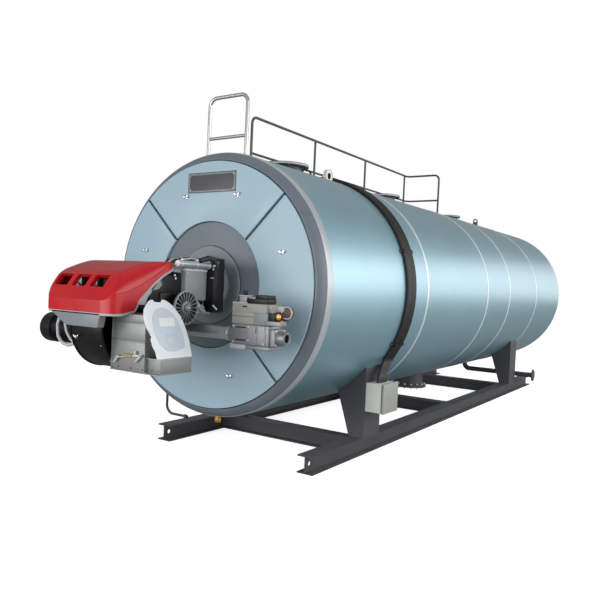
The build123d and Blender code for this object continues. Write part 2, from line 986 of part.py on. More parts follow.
with BuildPart() as fan_scroll:
    with BuildSketch(beside(scroll_left)):
        with BuildLine():
            scroll_top = (body_bottom - seat_gap) - scroll_centre_z
            front_corner = (scroll_centre_y - scroll_radius, scroll_centre_z)
            back_corner = (scroll_centre_y + scroll_radius, scroll_centre_z)
            Line(front_corner, (front_corner[0], scroll_centre_z + scroll_top))
            Line(
                (front_corner[0], scroll_centre_z + scroll_top),
                (back_corner[0], scroll_centre_z + scroll_top),
            )
            Line((back_corner[0], scroll_centre_z + scroll_top), back_corner)
            CenterArc((scroll_centre_y, scroll_centre_z), scroll_radius, 180, 180)
        make_face()
    extrude(amount=scroll_right - scroll_left)
    fillet(fan_scroll.edges().filter_by(GeomType.CIRCLE), scroll_round)
finish(fan_scroll, "fan_scroll")

with BuildPart() as fan_motor:
    rod(
        (scroll_left, motor_y, motor_z), (motor_flange_left, motor_y, motor_z), motor_flange_radius
    )
    rod((motor_flange_left, motor_y, motor_z), (motor_left, motor_y, motor_z), motor_radius)
    fillet(fan_motor.edges().group_by(Axis.X)[0], motor_round)
finish(fan_motor, "fan_motor")

# Air intake: a folded sheet box with a ledge, and the lobed cover sloping from its top to the ledge
ledge_top = intake_bottom + ledge_height
with BuildPart() as intake_box:
    block(
        (intake_left, intake_right),
        (intake_front, intake_back),
        (intake_bottom, intake_top),
    )
    block(
        (intake_right, ledge_right),
        (intake_front + ledge_setback, intake_back),
        (intake_bottom, ledge_top),
    )
finish(intake_box, "intake_box")

with BuildPart() as intake_cover:
    slope = atan2(ledge_top - cover_crown, ledge_right - intake_right)
    slope_length = sqrt((ledge_top - cover_crown) ** 2 + (ledge_right - intake_right) ** 2)
    cover_half = (intake_back - intake_front) / 2
    cover_plane = Plane(
        origin=(
            intake_right + seat_gap,
            door_y + (intake_front + intake_back) / 2,
            axis_height + cover_crown,
        ),
        x_dir=(0, 1, 0),
        z_dir=(-sin(slope), 0, cos(slope)),
    )
    foot = cover_half - cover_foot_inset
    with BuildSketch(cover_plane):
        with BuildLine():
            Polyline(
                (cover_right_waist[0], -cover_right_waist[1]),
                (foot, -slope_length),
                (-foot, -slope_length),
                (cover_left_waist[0], -cover_left_waist[1]),
            )
            ThreePointArc(
                (cover_left_waist[0], -cover_left_waist[1]),
                (cover_lobe[0], -cover_lobe[1]),
                cover_top_left,
            )
            Line(cover_top_left, cover_top_right)
            ThreePointArc(
                cover_top_right,
                (cover_shoulder[0], -cover_shoulder[1]),
                (cover_right_waist[0], -cover_right_waist[1]),
            )
        make_face()
        with Locations((cover_notch_middle, 0)):
            Rectangle(cover_notch_width, 2 * cover_notch_depth, mode=Mode.SUBTRACT)
    extrude(amount=cover_thickness)
finish(intake_cover, "intake_cover")


# Red hood: an outer form and a smaller hollow form of the same outline, cut through by its windows
def hood_point(place):
    """A point of the hood's side view, from its distance behind the front and its height."""
    return (hood_front + place[0], place[1])


def hood_form(inset, low_edge):
    """The hood's form, moved in by an inset, over the given lower edge."""
    top_face = hood_top - inset
    tail_face = hood_tail - inset
    crease = hood_point((hood_crease[0] + inset, hood_crease[1]))
    belly = hood_point((hood_belly[0] + inset, hood_belly[1] - inset / 2))
    shoulder = hood_point((hood_shoulder[0] + inset, hood_shoulder[1] - inset))
    top_end = (tail_face, top_face)
    with BuildPart() as form:
        with BuildSketch(beside(hood_left + inset)):
            with BuildLine():
                add(low_edge.line)
                Line(low_edge.line @ 0, top_end)
                Line(low_edge.line @ 1, crease)
                ThreePointArc(crease, belly, shoulder)
                Line(shoulder, top_end)
            make_face()
        extrude(amount=hood_right - hood_left - 2 * inset)
        upper_edges = (
            form.faces()
            .filter_by(Axis.X)
            .edges()
            .filter_by(
                lambda edge: (edge @ 0.5).Z > axis_height + 2 * hood_wall
                and abs((edge % 0.5).Z) < (edge % 0.5).length * 0.9
            )
        )
        fillet(upper_edges, hood_round - inset)
    return form.part


with BuildLine() as outer_edge:
    ThreePointArc(
        (hood_tail, hood_tail_lip), hood_point(hood_side_hollow), hood_point(hood_side_break)
    )
    Polyline(
        hood_point(hood_side_break),
        hood_point(hood_side_foot),
        (hood_front + hood_flat, hood_bottom),
        (hood_front, hood_bottom),
    )
with BuildLine() as inner_edge:
    Polyline(
        (hood_tail - hood_wall, 2 * hood_bottom),
        (hood_front + hood_wall, 2 * hood_bottom),
    )
hood_outside = hood_form(0, outer_edge)
hood_inside = hood_form(hood_wall, inner_edge)
with BuildPart() as burner_hood:
    add(hood_outside)
    add(hood_inside, mode=Mode.SUBTRACT)
    window_y, window_z = hood_point(hood_window_middle)
    slope_plane = Plane(
        origin=(hood_window_x, door_y + window_y, axis_height + window_z),
        x_dir=(1, 0, 0),
        z_dir=(0, -1, 1),
    )
    with BuildSketch(slope_plane):
        with GridLocations(hood_window_pitch, 0, 3, 1):
            RectangleRounded(hood_window_width, hood_window_height, hood_window_round)
    extrude(amount=hood_window_width / 2, both=True, mode=Mode.SUBTRACT)
finish(burner_hood, "burner_hood")

tray_back = scroll_centre_y - scroll_radius - seat_gap
with BuildPart() as hood_tray:
    with BuildSketch(across(tray_back)):
        with BuildLine():
            Polyline(
                (tray_top[0], hood_bottom - seat_gap),
                (tray_top[1], hood_bottom - seat_gap),
                (tray_floor[1], hood_bottom - tray_height),
                (tray_floor[0], hood_bottom - tray_height),
                close=True,
            )
        make_face()
    extrude(amount=tray_back - hood_front - hood_wall / 2)
finish(hood_tray, "hood_tray")

# Air tube and black housing beside the neck
with BuildPart() as air_tube:
    rod((tube_x, hood_tail + tube_gap, tube_z), (tube_x, body_back, tube_z), tube_radius)
finish(air_tube, "air_tube")

with BuildPart() as black_housing:
    block(
        (grey_box_right - cam_hub_radius, black_box_right),
        (body_back, black_box_back),
        (-black_box_half_height, black_box_half_height),
    )
    disc(body_back, black_box_back, neck_radius + seat_gap, mode=Mode.SUBTRACT)
finish(black_housing, "black_housing")

# Cam wheel with its slots, on a hub at the side of the casing
with BuildPart() as cam_wheel:
    with BuildSketch(beside(cam_x)):
        with Locations((cam_y, cam_z)):
            Circle(cam_radius)
            with PolarLocations(cam_slot_circle, cam_slots):
                SlotOverall(cam_slot_length, cam_slot_width, mode=Mode.SUBTRACT)
    extrude(amount=cam_thickness)
    hub_end = cam_x + cam_thickness + cam_hub_proud
    rod((body_half_width, cam_y, cam_z), (hub_end, cam_y, cam_z), cam_hub_radius)
finish(cam_wheel, "cam_wheel")

# Gas train
valve_depth = (gas_y - valve_half_depth, gas_y + valve_half_depth)
with BuildPart() as gas_pipe:
    bent_tube(
        [
            (gas_pipe_left, gas_y, body_bottom - seat_gap),
            (gas_pipe_left, gas_y, gas_z),
            (valve_left, gas_y, gas_z),
        ],
        gas_pipe_bend,
        gas_pipe_radius,
    )
finish(gas_pipe, "gas_pipe")

with BuildPart() as gas_valve:
    block((valve_left, valve_body_right), valve_depth, (valve_bottom, valve_top))
    fillet(gas_valve.edges().filter_by(Axis.X), valve_round)
    block(
        (valve_left - valve_foot_proud, valve_body_right + valve_foot_proud),
        (valve_depth[0] - valve_foot_proud, valve_depth[1] + valve_foot_proud),
        (valve_bottom, valve_bottom + valve_foot),
    )
    block(
        (valve_body_right, valve_right),
        (gas_y - end_flange_half, gas_y + end_flange_half),
        (gas_z - end_flange_half, gas_z + end_flange_half),
    )
    rod((valve_right, gas_y, gas_z), (valve_right + gas_port_length, gas_y, gas_z), gas_port_radius)
    rod(
        (valve_right - gas_bore_depth, gas_y, gas_z),
        (valve_right + gas_port_length, gas_y, gas_z),
        gas_port_bore,
        mode=Mode.SUBTRACT,
    )
finish(gas_valve, "gas_valve")

with BuildPart() as valve_coil_box:
    box_depth = (valve_depth[0] + coil_box_inset, valve_depth[1] - coil_box_inset)
    second_depth = (valve_depth[0] + second_box_inset, gas_y + coil_box_inset)
    block((valve_left, coil_box_right), box_depth, (valve_top, coil_box_top))
    block((second_box_left, second_box_right), second_depth, (valve_top, second_box_top))
finish(valve_coil_box, "valve_coil_box")

# Gas pressure switch on its foot, with its cap to the right and a round seal held by an arm
with BuildPart() as pressure_switch:
    switch_depth = (switch_y - switch_half_depth, switch_y + switch_half_depth)
    foot_bottom = valve_top + seat_gap
    cap_z = (switch_foot_top + switch_top) / 2
    block(
        (second_box_right + seat_gap, switch_foot_right),
        switch_depth,
        (foot_bottom, switch_foot_top),
    )
    block((switch_left, switch_right), switch_depth, (switch_foot_top, switch_top))
    rod(
        (switch_right, switch_y, cap_z),
        (switch_right + switch_cap_length, switch_y, cap_z),
        switch_cap_radius,
    )
    block(
        (switch_right - switch_cap_radius, switch_seal[0]),
        switch_depth,
        (switch_top, switch_top + switch_arm_height),
    )
    disc(
        switch_depth[0],
        switch_depth[1],
        switch_seal_radius,
        place=switch_seal,
    )
finish(pressure_switch, "pressure_switch")
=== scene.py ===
"""Looks of a horizontal fire-tube boiler with its gas burner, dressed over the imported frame.

Lengths inside the classes are millimetres measured from the boiler: x to the right seen from
the burner, y behind the face of the door panels, z above the boiler axis. Site.point turns
them into the frame's metres.
"""

from __future__ import annotations

import json
import logging
from dataclasses import dataclass
from enum import Enum
from math import asin, cos, degrees, hypot, pi, radians, sin, sqrt, tan

import bmesh
import bpy
from mathutils import Matrix, Vector


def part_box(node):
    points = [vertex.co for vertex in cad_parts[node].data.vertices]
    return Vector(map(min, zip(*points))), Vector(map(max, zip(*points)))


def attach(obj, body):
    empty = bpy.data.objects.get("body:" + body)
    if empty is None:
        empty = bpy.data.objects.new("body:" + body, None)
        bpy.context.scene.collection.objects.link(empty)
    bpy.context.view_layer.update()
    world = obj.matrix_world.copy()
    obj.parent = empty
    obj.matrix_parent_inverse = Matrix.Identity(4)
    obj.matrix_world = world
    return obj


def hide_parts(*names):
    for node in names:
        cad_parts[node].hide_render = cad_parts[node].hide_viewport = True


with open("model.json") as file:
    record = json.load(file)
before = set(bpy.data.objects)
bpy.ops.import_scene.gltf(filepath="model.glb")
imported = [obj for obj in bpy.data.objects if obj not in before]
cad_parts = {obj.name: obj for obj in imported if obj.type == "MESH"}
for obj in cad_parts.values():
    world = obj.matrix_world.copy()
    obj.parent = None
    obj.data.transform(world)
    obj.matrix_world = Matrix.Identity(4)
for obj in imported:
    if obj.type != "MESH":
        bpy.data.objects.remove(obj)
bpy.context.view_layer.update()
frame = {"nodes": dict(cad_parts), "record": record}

LOG = logging.getLogger("boiler")
MM = 0.001
COAT_ROUGHNESS = 0.34
SHELL_RADIUS = 1100.0
ROUND_STEPS = 192
CORNERS = ((-1, -1), (-1, 1), (1, -1), (1, 1))
WHITE_LIGHT = (1.0, 1.0, 1.0, 1.0)
Point = tuple[float, float, float]
Flat = tuple[float, float]
Tree = bpy.types.NodeTree
Socket = bpy.types.NodeSocket


class Axis(Enum):
    """The direction that a turned or flat form looks along."""

    RIGHT = "x"
    BACK = "y"
    UP = "z"


RIGHT, BACK, UP = Axis


class Site:
    """Where the boiler stands in the frame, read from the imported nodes."""

    low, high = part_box("door_panels")
    door_y = low.y
    axis_z = (low.z + high.z) / 2

    @classmethod
    def point(cls, x: float, y: float, z: float) -> Vector:
        """Frame position in metres of a boiler position in millimetres."""
        return Vector((x * MM, cls.door_y + y * MM, cls.axis_z + z * MM))


def box_mm(node: str) -> tuple[Vector, Vector]:
    """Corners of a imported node, in millimetres from the boiler's own zero.

    Args:
        node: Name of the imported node.

    Returns:
        Its lowest and highest corners.
    """
    zero = Vector((0, Site.door_y, Site.axis_z))
    low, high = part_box(node)
    return (low - zero) / MM, (high - zero) / MM


def linear(hex_colour: str) -> tuple[float, float, float, float]:
    """Turns an sRGB hex colour into the linear colour that a shader takes.

    Args:
        hex_colour: A colour such as "#A2BBC8".

    Returns:
        Linear red, green, blue and an alpha of one.
    """
    channels = [int(hex_colour[i : i + 2], 16) / 255 for i in (1, 3, 5)]
    bent = [c / 12.92 if c <= 0.04045 else ((c + 0.055) / 1.055) ** 2.4 for c in channels]
    return (*bent, 1.0)


def empty_tree(owner: bpy.types.Material | bpy.types.World) -> Tree:
    """Turns nodes on and empties the tree.

    Args:
        owner: The material or world.

    Returns:
        The empty tree.
    """
    owner.use_nodes = True
    owner.node_tree.nodes.clear()
    return owner.node_tree


def add_node(
    tree: Tree,
    kind: str,
    settings: dict | None = None,
    values: dict | None = None,
    links: dict | None = None,
) -> bpy.types.Node:
    """Adds a node with its settings, socket values and incoming links.

    Args:
        tree: The tree that the node joins.
        kind: The node's Blender type.
        settings: Properties of the node itself.
        values: Constant values by input name or number.
        links: Output sockets by the input that they feed.

    Returns:
        The new node.
    """
    node = tree.nodes.new(kind)
    for name, value in (settings or {}).items():
        setattr(node, name, value)
    for name, value in (values or {}).items():
        node.inputs[name].default_value = value
    for name, source in (links or {}).items():
        tree.links.new(source, node.inputs[name])
    return node


@dataclass(frozen=True)
class Finish:
    """A painted, moulded or bare surface with a slow tone change and a fine relief.

    Attributes:
        title: Material name, after the real stuff.
        colour: Main colour.
        shade: Colour of the darker patches.
        roughness: Mean roughness.
        metallic: One for bare metal, zero for paint and plastic.
        ior: Refractive index, left at 1.5 for metals.
        specular: Specular level of the shader.
        coat: Weight of a clear coat.
        coat_ior: Refractive index of that coat.
        patch_mm: Width of the tone patches.
        patch_amount: How far the patches go to the shade, zero to one.
        relief_mm: Size of the fine relief.
        relief_depth: Height of the relief in millimetres.
        gloss_swing: How far the roughness wanders.
    """

    title: str
    colour: str
    shade: str
    roughness: float
    metallic: float = 0.0
    ior: float = 1.5
    specular: float = 0.5
    coat: float = 0.0
    coat_ior: float = 1.5
    patch_mm: float = 350.0
    patch_amount: float = 0.5
    relief_mm: float = 14.0
    relief_depth: float = 0.1
    gloss_swing: float = 0.06

    def material(self) -> bpy.types.Material:
        """The Blender material of this finish, made once.

        Returns:
            The material.
        """
        made = bpy.data.materials.get(self.title)
        if made:
            return made
        made = bpy.data.materials.new(self.title)
        tree = empty_tree(made)
        place = add_node(tree, "ShaderNodeTexCoord").outputs["Object"]
        shader = add_node(
            tree,
            "ShaderNodeBsdfPrincipled",
            values={
                "Metallic": self.metallic,
                "IOR": self.ior,
                "Specular IOR Level": self.specular,
                "Coat Weight": self.coat,
                "Coat Roughness": COAT_ROUGHNESS,
                "Coat IOR": self.coat_ior,
            },
        )
        add_node(tree, "ShaderNodeOutputMaterial", links={"Surface": shader.outputs[0]})
        tree.links.new(self.tone(tree, place), shader.inputs["Base Color"])
        tree.links.new(self.gloss(tree, place), shader.inputs["Roughness"])
        tree.links.new(self.relief(tree, place), shader.inputs["Normal"])
        return made

    def tone(self, tree: Tree, place: Socket) -> Socket:
        """Base colour: the main colour with soft darker patches.

        Args:
            tree: The material's tree.
            place: Where the surface point lies.

        Returns:
            The socket with the colour.
        """
        values = {"Scale": 1 / (self.patch_mm * MM), "Detail": 4.0, "Roughness": 0.55}
        clouds = add_node(tree, "ShaderNodeTexNoise", None, values, {"Vector": place})
        span = (0.38, 0.72, self.patch_amount)
        return self.towards(tree, clouds.outputs["Fac"], span, self.colour, self.shade)

    @staticmethod
    def towards(
        tree: Tree, amount: Socket, span: Point, base: str | Socket, other: str
    ) -> Socket:
        """Goes from one colour towards another as a value rises.

        Args:
            tree: The tree of the material.
            amount: The value.
            span: Where the change starts, where it ends, and how far it goes, zero to one.
            base: First colour, as sRGB hex or a socket.
            other: Second colour, as sRGB hex.

        Returns:
            The socket with the colour.
        """
        reach = dict(zip(("From Min", "From Max", "To Max"), span))
        share = add_node(tree, "ShaderNodeMapRange", None, reach, {"Value": amount})
        values, links = {7: linear(other)}, {0: share.outputs[0]}
        if isinstance(base, str):
            values[6] = linear(base)
        else:
            links[6] = base
        return add_node(tree, "ShaderNodeMix", {"data_type": "RGBA"}, values, links).outputs[2]

    def gloss(self, tree: Tree, place: Socket) -> Socket:
        """Roughness that wanders a little about its mean.

        Args:
            tree: The material's tree.
            place: Where the surface point lies.

        Returns:
            The socket with the roughness.
        """
        values = {"Scale": 2.3 / (self.patch_mm * MM), "Detail": 3.0}
        smear = add_node(tree, "ShaderNodeTexNoise", None, values, {"Vector": place})
        values = {
            "From Min": 0.3,
            "From Max": 0.7,
            "To Min": max(self.roughness - self.gloss_swing, 0.03),
            "To Max": min(self.roughness + self.gloss_swing, 1.0),
        }
        links = {"Value": smear.outputs["Fac"]}
        return add_node(tree, "ShaderNodeMapRange", None, values, links).outputs[0]

    def relief(self, tree: Tree, place: Socket) -> Socket:
        """Normal with the fine relief of the coat or casting.

        Args:
            tree: The material's tree.
            place: Where the surface point lies.

        Returns:
            The socket with the normal.
        """
        values = {"Scale": 1 / (self.relief_mm * MM), "Detail": 2.0}
        grain = add_node(tree, "ShaderNodeTexNoise", None, values, {"Vector": place})
        values = {"Strength": 1.0, "Distance": self.relief_depth * MM}
        links = {"Height": grain.outputs["Fac"]}
        return add_node(tree, "ShaderNodeBump", None, values, links).outputs[0]


@dataclass(frozen=True)
class Brushed(Finish):
    """Metal with fine lines that run round the boiler or along one axis."""

    along: tuple[float, float, float] = (1.0, 60.0, 1.0)
    line_mm: float = 6.0

    def relief(self, tree: Tree, place: Socket) -> Socket:
        """Normal with long thin lines, drawn coarser than the real ones so that they show.

        Args:
            tree: The material's tree.
            place: Where the surface point lies.

        Returns:
            The socket with the normal.
        """
        scale = tuple(a / (self.line_mm * 10 * MM) for a in self.along)
        drawn = add_node(tree, "ShaderNodeMapping", None, {"Scale": scale}, {"Vector": place})
        values, links = {"Scale": 1.0, "Detail": 3.0}, {"Vector": drawn.outputs[0]}
        lines = add_node(tree, "ShaderNodeTexNoise", None, values, links)
        values = {"Strength": 0.5, "Distance": self.relief_depth * MM}
        links = {"Height": lines.outputs["Fac"]}
        return add_node(tree, "ShaderNodeBump", None, values, links).outputs[0]


@dataclass(frozen=True)
class Galvanised(Finish):
    """Hot-dip zinc on sheet: flat crystals of slightly different grey."""

    spangle_mm: float = 22.0

    def tone(self, tree: Tree, place: Socket) -> Socket:
        """Base colour that changes from one zinc crystal to the next.

        Args:
            tree: The material's tree.
            place: Where the surface point lies.

        Returns:
            The socket with the colour.
        """
        scale = {"Scale": 1 / (self.spangle_mm * MM)}
        crystals = add_node(tree, "ShaderNodeTexVoronoi", None, scale, {"Vector": place})
        grey = add_node(tree, "ShaderNodeRGBToBW", links={"Color": crystals.outputs["Color"]})
        span = (0.0, 1.0, self.patch_amount)
        return self.towards(tree, grey.outputs[0], span, self.colour, self.shade)


@dataclass(frozen=True)
class FloorWorn(Finish):
    """Machine paint that gathers dust on its upper faces."""

    dust: str = "#8D8983"
    dust_amount: float = 0.35
    speckle_mm: float = 60.0

    def tone(self, tree: Tree, place: Socket) -> Socket:
        """Paint colour with dust over upper faces.

        Args:
            tree: The material's tree.
            place: Where the surface point lies.

        Returns:
            The socket with the colour.
        """
        paint = super().tone(tree, place)
        normal = add_node(tree, "ShaderNodeNewGeometry").outputs["Normal"]
        upward = add_node(tree, "ShaderNodeSeparateXYZ", links={"Vector": normal}).outputs["Z"]
        values = {"Scale": 1 / (self.speckle_mm * MM), "Detail": 6.0, "Roughness": 0.7}
        speckle = add_node(tree, "ShaderNodeTexNoise", None, values, {"Vector": place})
        lying = add_node(
            tree,
            "ShaderNodeMath",
            {"operation": "MULTIPLY", "use_clamp": True},
            links={0: upward, 1: speckle.outputs["Fac"]},
        )
        span = (0.2, 0.75, self.dust_amount)
        return self.towards(tree, lying.outputs[0], span, paint, self.dust)


# Coil-coated cladding sheet: a metallic enamel, so it is darker off the light and pale in it
CLADDING = Finish(
    "metallic_coil_enamel_blue", "#8CBCCB", "#80B3C4", 0.46, metallic=0.85, coat=1.0, coat_ior=2.2,
    patch_mm=900, patch_amount=0.6, relief_mm=160, relief_depth=0.5, gloss_swing=0.03,
)
# Sprayed enamel on the flat door panels: paler and flatter than the cladding
PANEL = Finish(
    "sprayed_enamel_pale_blue", "#A4BECB", "#9CB8C6", 0.42,
    patch_mm=500, relief_mm=9, relief_depth=0.05, gloss_swing=0.04,
)
# Enamel deep between the panels: dark teal with hardly a shine, painted as the shade in the gaps
GAP_SHADE = Finish("enamel_gap_painted_shade", "#3A5966", "#2C4652", 0.5)
# Satin enamel on thick plate: an even slate grey with a soft shine
DOOR = Finish(
    "satin_enamel_slate", "#6B747D", "#5C6570", 0.38,
    patch_mm=260, relief_mm=10, relief_depth=0.08,
)
# Machine paint on rolled beams: near black, with dust on its upper faces
FRAME = FloorWorn(
    "machine_paint_graphite", "#49484C", "#3E3E43", 0.45,
    patch_mm=320, relief_mm=12, relief_depth=0.15,
)
# Brushed stainless strip and fittings: bright, with lines that run with the strip
TRIM = Brushed("brushed_stainless_band", "#DADDE0", "#C3C8CC", 0.28, metallic=1.0, relief_depth=0.1)
# Polished stainless banding, made near white: partly the steel's own brightness, partly a painted
# highlight, so that it is the brightest line on the shell
BAND_SHEEN = Finish(
    "stainless_band_painted_sheen", "#F0F3F5", "#E3E8EB", 0.42, metallic=0.55, patch_mm=200, relief_mm=8
)
# Satin enamel on bent tube: dark, with one soft streak along the tube
RAIL = Finish("satin_enamel_iron_grey", "#4C4C4E", "#404043", 0.4, patch_mm=120, relief_mm=6)
# Drawn steel tube: pale, streaked along its length
HOOP = Brushed(
    "drawn_steel_tube", "#C9C9C5", "#A9A9A6", 0.32, metallic=0.8, along=(8.0, 8.0, 1.0)
)
# Moulded ABS, glossy from its mould: deep red with wide soft highlights
RED = Finish(
    "gloss_moulded_abs_red", "#BC101C", "#AA0C17", 0.32, specular=0.4, coat=0.1,
    patch_mm=300, relief_mm=5, relief_depth=0.03,
)
# Semi-gloss enamel on castings and sheet: deep black with grey highlights
BLACK = Finish(
    "semi_gloss_enamel_black", "#100E0F", "#0B0A0A", 0.4, specular=0.3,
    patch_mm=120, relief_mm=7, relief_depth=0.08,
)
# Satin enamel: a plain, even mid grey
GREY = Finish(
    "satin_enamel_mid_grey", "#8E9296", "#82868B", 0.4, patch_mm=150, relief_mm=6
)
# Zinc-plated steel: cool and pale, with a blurred shine
ZINC = Finish(
    "zinc_plated_pipe", "#C2C6C8", "#ADB2B5", 0.38, metallic=0.7, patch_mm=60, relief_mm=6
)
# Hot-dip galvanised sheet: flat crystals, each a slightly different grey
SHEET = Galvanised("galvanised_sheet", "#8C8E8D", "#777A7B", 0.44, metallic=0.5, patch_amount=0.35)
# Passivated steel strip: pale, a little warm, nearly matt
HANDLE = Finish("passivated_steel_pale", "#B9BEB5", "#ABB0A8", 0.42, metallic=0.3, patch_mm=50)
# Moulded polyethylene at the cover's rim, made whiter than the field as a painted highlight along
# its edge: the whitest of the burner
WHITE_RIM_HIGHLIGHT = Finish(
    "cover_rim_painted_highlight", "#DDE2E6", "#D2D8DD", 0.36, ior=1.54, patch_mm=120, relief_mm=8
)
# Moulded polyethylene field: bluish white with a waxy shine
WHITE = Finish(
    "polyethylene_cover", "#BFCAD5", "#B3BFCB", 0.38, ior=1.54,
    patch_mm=120, relief_mm=8, relief_depth=0.05,
)
# Light powder coat: matt, with a fine orange-peel relief
BEIGE = Finish(
    "powder_coat_light_grey", "#E2E3DB", "#D8D9D1", 0.5,
    patch_mm=140, relief_mm=4, relief_depth=0.08,
)
# Powder coat of the box's door: matt, and a darker, warmer grey than the box as painted shade on
# that face
BEIGE_DOOR_SHADE = Finish(
    "powder_coat_door_painted_shade", "#A1A49B", "#989B92", 0.5, patch_mm=140, relief_mm=4, relief_depth=0.08
)
# Die-cast aluminium: a grey skin, slightly blotched and grainy
CAST = Finish(
    "die_cast_aluminium", "#8E9093", "#7A7D80", 0.48, metallic=0.6,
    patch_mm=30, relief_mm=4, relief_depth=0.15,
)
# Tumbled die-cast aluminium: brighter and smoother than the plain casting
CAST_BRIGHT = Finish(
    "die_cast_aluminium_tumbled", "#BBBDBF", "#A2A5A8", 0.4, metallic=0.7,
    patch_mm=30, relief_mm=4, relief_depth=0.15,
)
# PVC sheath: black with a dull shine and a slightly uneven skin
CABLE = Finish(
    "pvc_sheath_black", "#1F1B1C", "#171415", 0.48, ior=1.53,
    patch_mm=60, relief_mm=8, relief_depth=0.2,
)
# PVC conduit: pale grey and satin
CONDUIT = Finish("pvc_conduit_grey", "#B9BDBF", "#A2A7AA", 0.45, patch_mm=40, relief_mm=5)
# Cast brass: warm yellow, darker where it has tarnished
BRASS = Finish(
    "cast_brass", "#C79A55", "#A87B3C", 0.35, metallic=0.95,
    patch_mm=20, relief_mm=4, relief_depth=0.1,
)
# Stove enamel of the gauge: a clean warm white
DIAL = Finish("enamel_white", "#ECEBE4", "#E2E0D8", 0.35, patch_mm=40, relief_depth=0.02)
# Light satin enamel on the turned strip: pale with a sheen of metal
RING_EDGE = Finish(
    "satin_enamel_light_grey", "#B9BEC3", "#A9AFB5", 0.34, metallic=0.3,
    patch_mm=400, relief_mm=20, relief_depth=0.05,
)
# Satin enamel, stone grey: paler than the ring round it
PORT_PLATE = Finish(
    "satin_enamel_stone_grey", "#7F868B", "#737A80", 0.4, patch_mm=160, relief_mm=8
)
# Etched border: light metal in a dark plate
BORDER = Finish("etched_border_light", "#C9CACB", "#BDBEC0", 0.4, patch_mm=60, relief_depth=0.02)
# Moulded nylon: matt black
GLAND = Finish(
    "nylon_gland_black", "#232122", "#1A1819", 0.5, ior=1.53,
    patch_mm=20, relief_mm=3, relief_depth=0.05,
)
# Light satin enamel on strips and lids: pale and even
STRIP = Finish(
    "satin_enamel_light_grey_fine", "#A9ADAF", "#9DA1A4", 0.4, patch_mm=90, relief_mm=5
)
# Mid grey powder coat: matt and finely grained
BOX_GREY = Finish(
    "powder_coat_mid_grey", "#8B9092", "#81878A", 0.45, patch_mm=90, relief_mm=3, relief_depth=0.05
)
# Moulded polycarbonate: warm grey with a fine grain
BEIGE_DARK = Finish(
    "moulded_pc_warm_grey", "#909188", "#868880", 0.45, patch_mm=60, relief_mm=3, relief_depth=0.05
)
# Enamel worn on thin edges: lighter than the black round it
FIN = Finish("enamel_worn_edge", "#4A4A4C", "#353537", 0.4, patch_mm=40, relief_mm=5)
# Waxed hardboard: warm brown and dull
GRIP = Finish(
    "waxed_hardboard_grip", "#A88B62", "#8F7551", 0.5, patch_mm=30, relief_mm=4, relief_depth=0.1
)
# Bare paper: near white and matt
LABEL = Finish("bare_paper_label", "#DEE1E3", "#D4D7D9", 0.5, patch_mm=30, relief_depth=0.02)
# Primed steel: dark brown and dull
BRACKET = Finish("primed_steel_brown", "#4A3836", "#3A2C2B", 0.5, patch_mm=30, relief_mm=5)
# Silicone: dull red brown
SEAL = Finish("silicone_red_brown", "#5E2A2A", "#4E2324", 0.45, patch_mm=20, relief_mm=3)
# Inside of slots, ports and holes: a near black painted as their shade, so that it reads as depth
SLOT_DARK = Finish("shadowed_slot", "#1E1E20", "#161617", 0.7, patch_mm=20, relief_depth=0.02)
# Anodised plate: dark grey and faintly metallic
PLATE = Finish("anodised_plate_dark", "#4E4F53", "#444549", 0.45, metallic=0.2, patch_mm=80)


def linked(name: str, data: bpy.types.ID) -> bpy.types.Object:
    """Puts a mesh, lamp or camera into the scene.

    Args:
        name: Name of the object.
        data: What it shows.

    Returns:
        The object.
    """
    made = bpy.data.objects.new(name, data)
    bpy.context.scene.collection.objects.link(made)
    return made


def scratch_object(part: bmesh.types.BMesh, name: str) -> bpy.types.Object:
    """Puts a mesh in the making into the scene for one operation.

    Args:
        part: The mesh, which is used up.
        name: Name of the object.

    Returns:
        The object.
    """
    data = bpy.data.meshes.new(name)
    part.to_mesh(data)
    part.free()
    return linked(name, data)


def merge(target: bmesh.types.BMesh, part: bmesh.types.BMesh) -> None:
    """Adds a part to a mesh in the making.

    Args:
        target: The mesh that grows.
        part: The part, which is used up.
    """
    spare = bpy.data.meshes.new("part")
    part.to_mesh(spare)
    part.free()
    target.from_mesh(spare)
    bpy.data.meshes.remove(spare)


def join_rows(part: bmesh.types.BMesh, first: list, second: list, closed: bool = False) -> None:
    """Adds faces between two rows of corners.

    Args:
        part: The mesh that holds them.
        first: One row.
        second: The other row, with as many corners.
        closed: True where each row's last corner meets its first.
    """
    for here in range(len(first) if closed else len(first) - 1):
        after = (here + 1) % len(first)
        part.faces.new((first[here], first[after], second[after], second[here]))


def thicken(part: bmesh.types.BMesh, flat: list[bmesh.types.BMFace], step: Point) -> None:
    """Grows flat faces into a solid.

    Args:
        part: The mesh that holds them.
        flat: The faces.
        step: How far and which way they grow.
    """
    grown = bmesh.ops.extrude_face_region(part, geom=flat)
    moved = [v for v in grown["geom"] if isinstance(v, bmesh.types.BMVert)]
    bmesh.ops.translate(part, vec=step, verts=moved)
    bmesh.ops.recalc_face_normals(part, faces=part.faces)


def plane_at(origin: Vector, across: Vector, up: Vector, normal: Vector) -> Matrix:
    """Matrix from a plane's x, y and normal to boiler millimetres.

    Args:
        origin: Where the plane's zero lies.
        across: Direction of its x.
        up: Direction of its y.
        normal: Direction of its normal.

    Returns:
        The matrix.
    """
    plane = Matrix((across, up, normal)).transposed().to_4x4()
    plane.translation = origin
    return plane


def around(
    radius: float, count: int, start: float = 0.0, turn: float = 360.0
) -> list[Flat]:
    """Even places on a circle round zero.

    Args:
        radius: The circle's radius.
        count: Number of places.
        start: Angle of the first one in degrees.
        turn: How far round they go.

    Returns:
        Both distances of each place.
    """
    turns = [radians(start + turn / count * index) for index in range(count)]
    return [(radius * cos(t), radius * sin(t)) for t in turns]


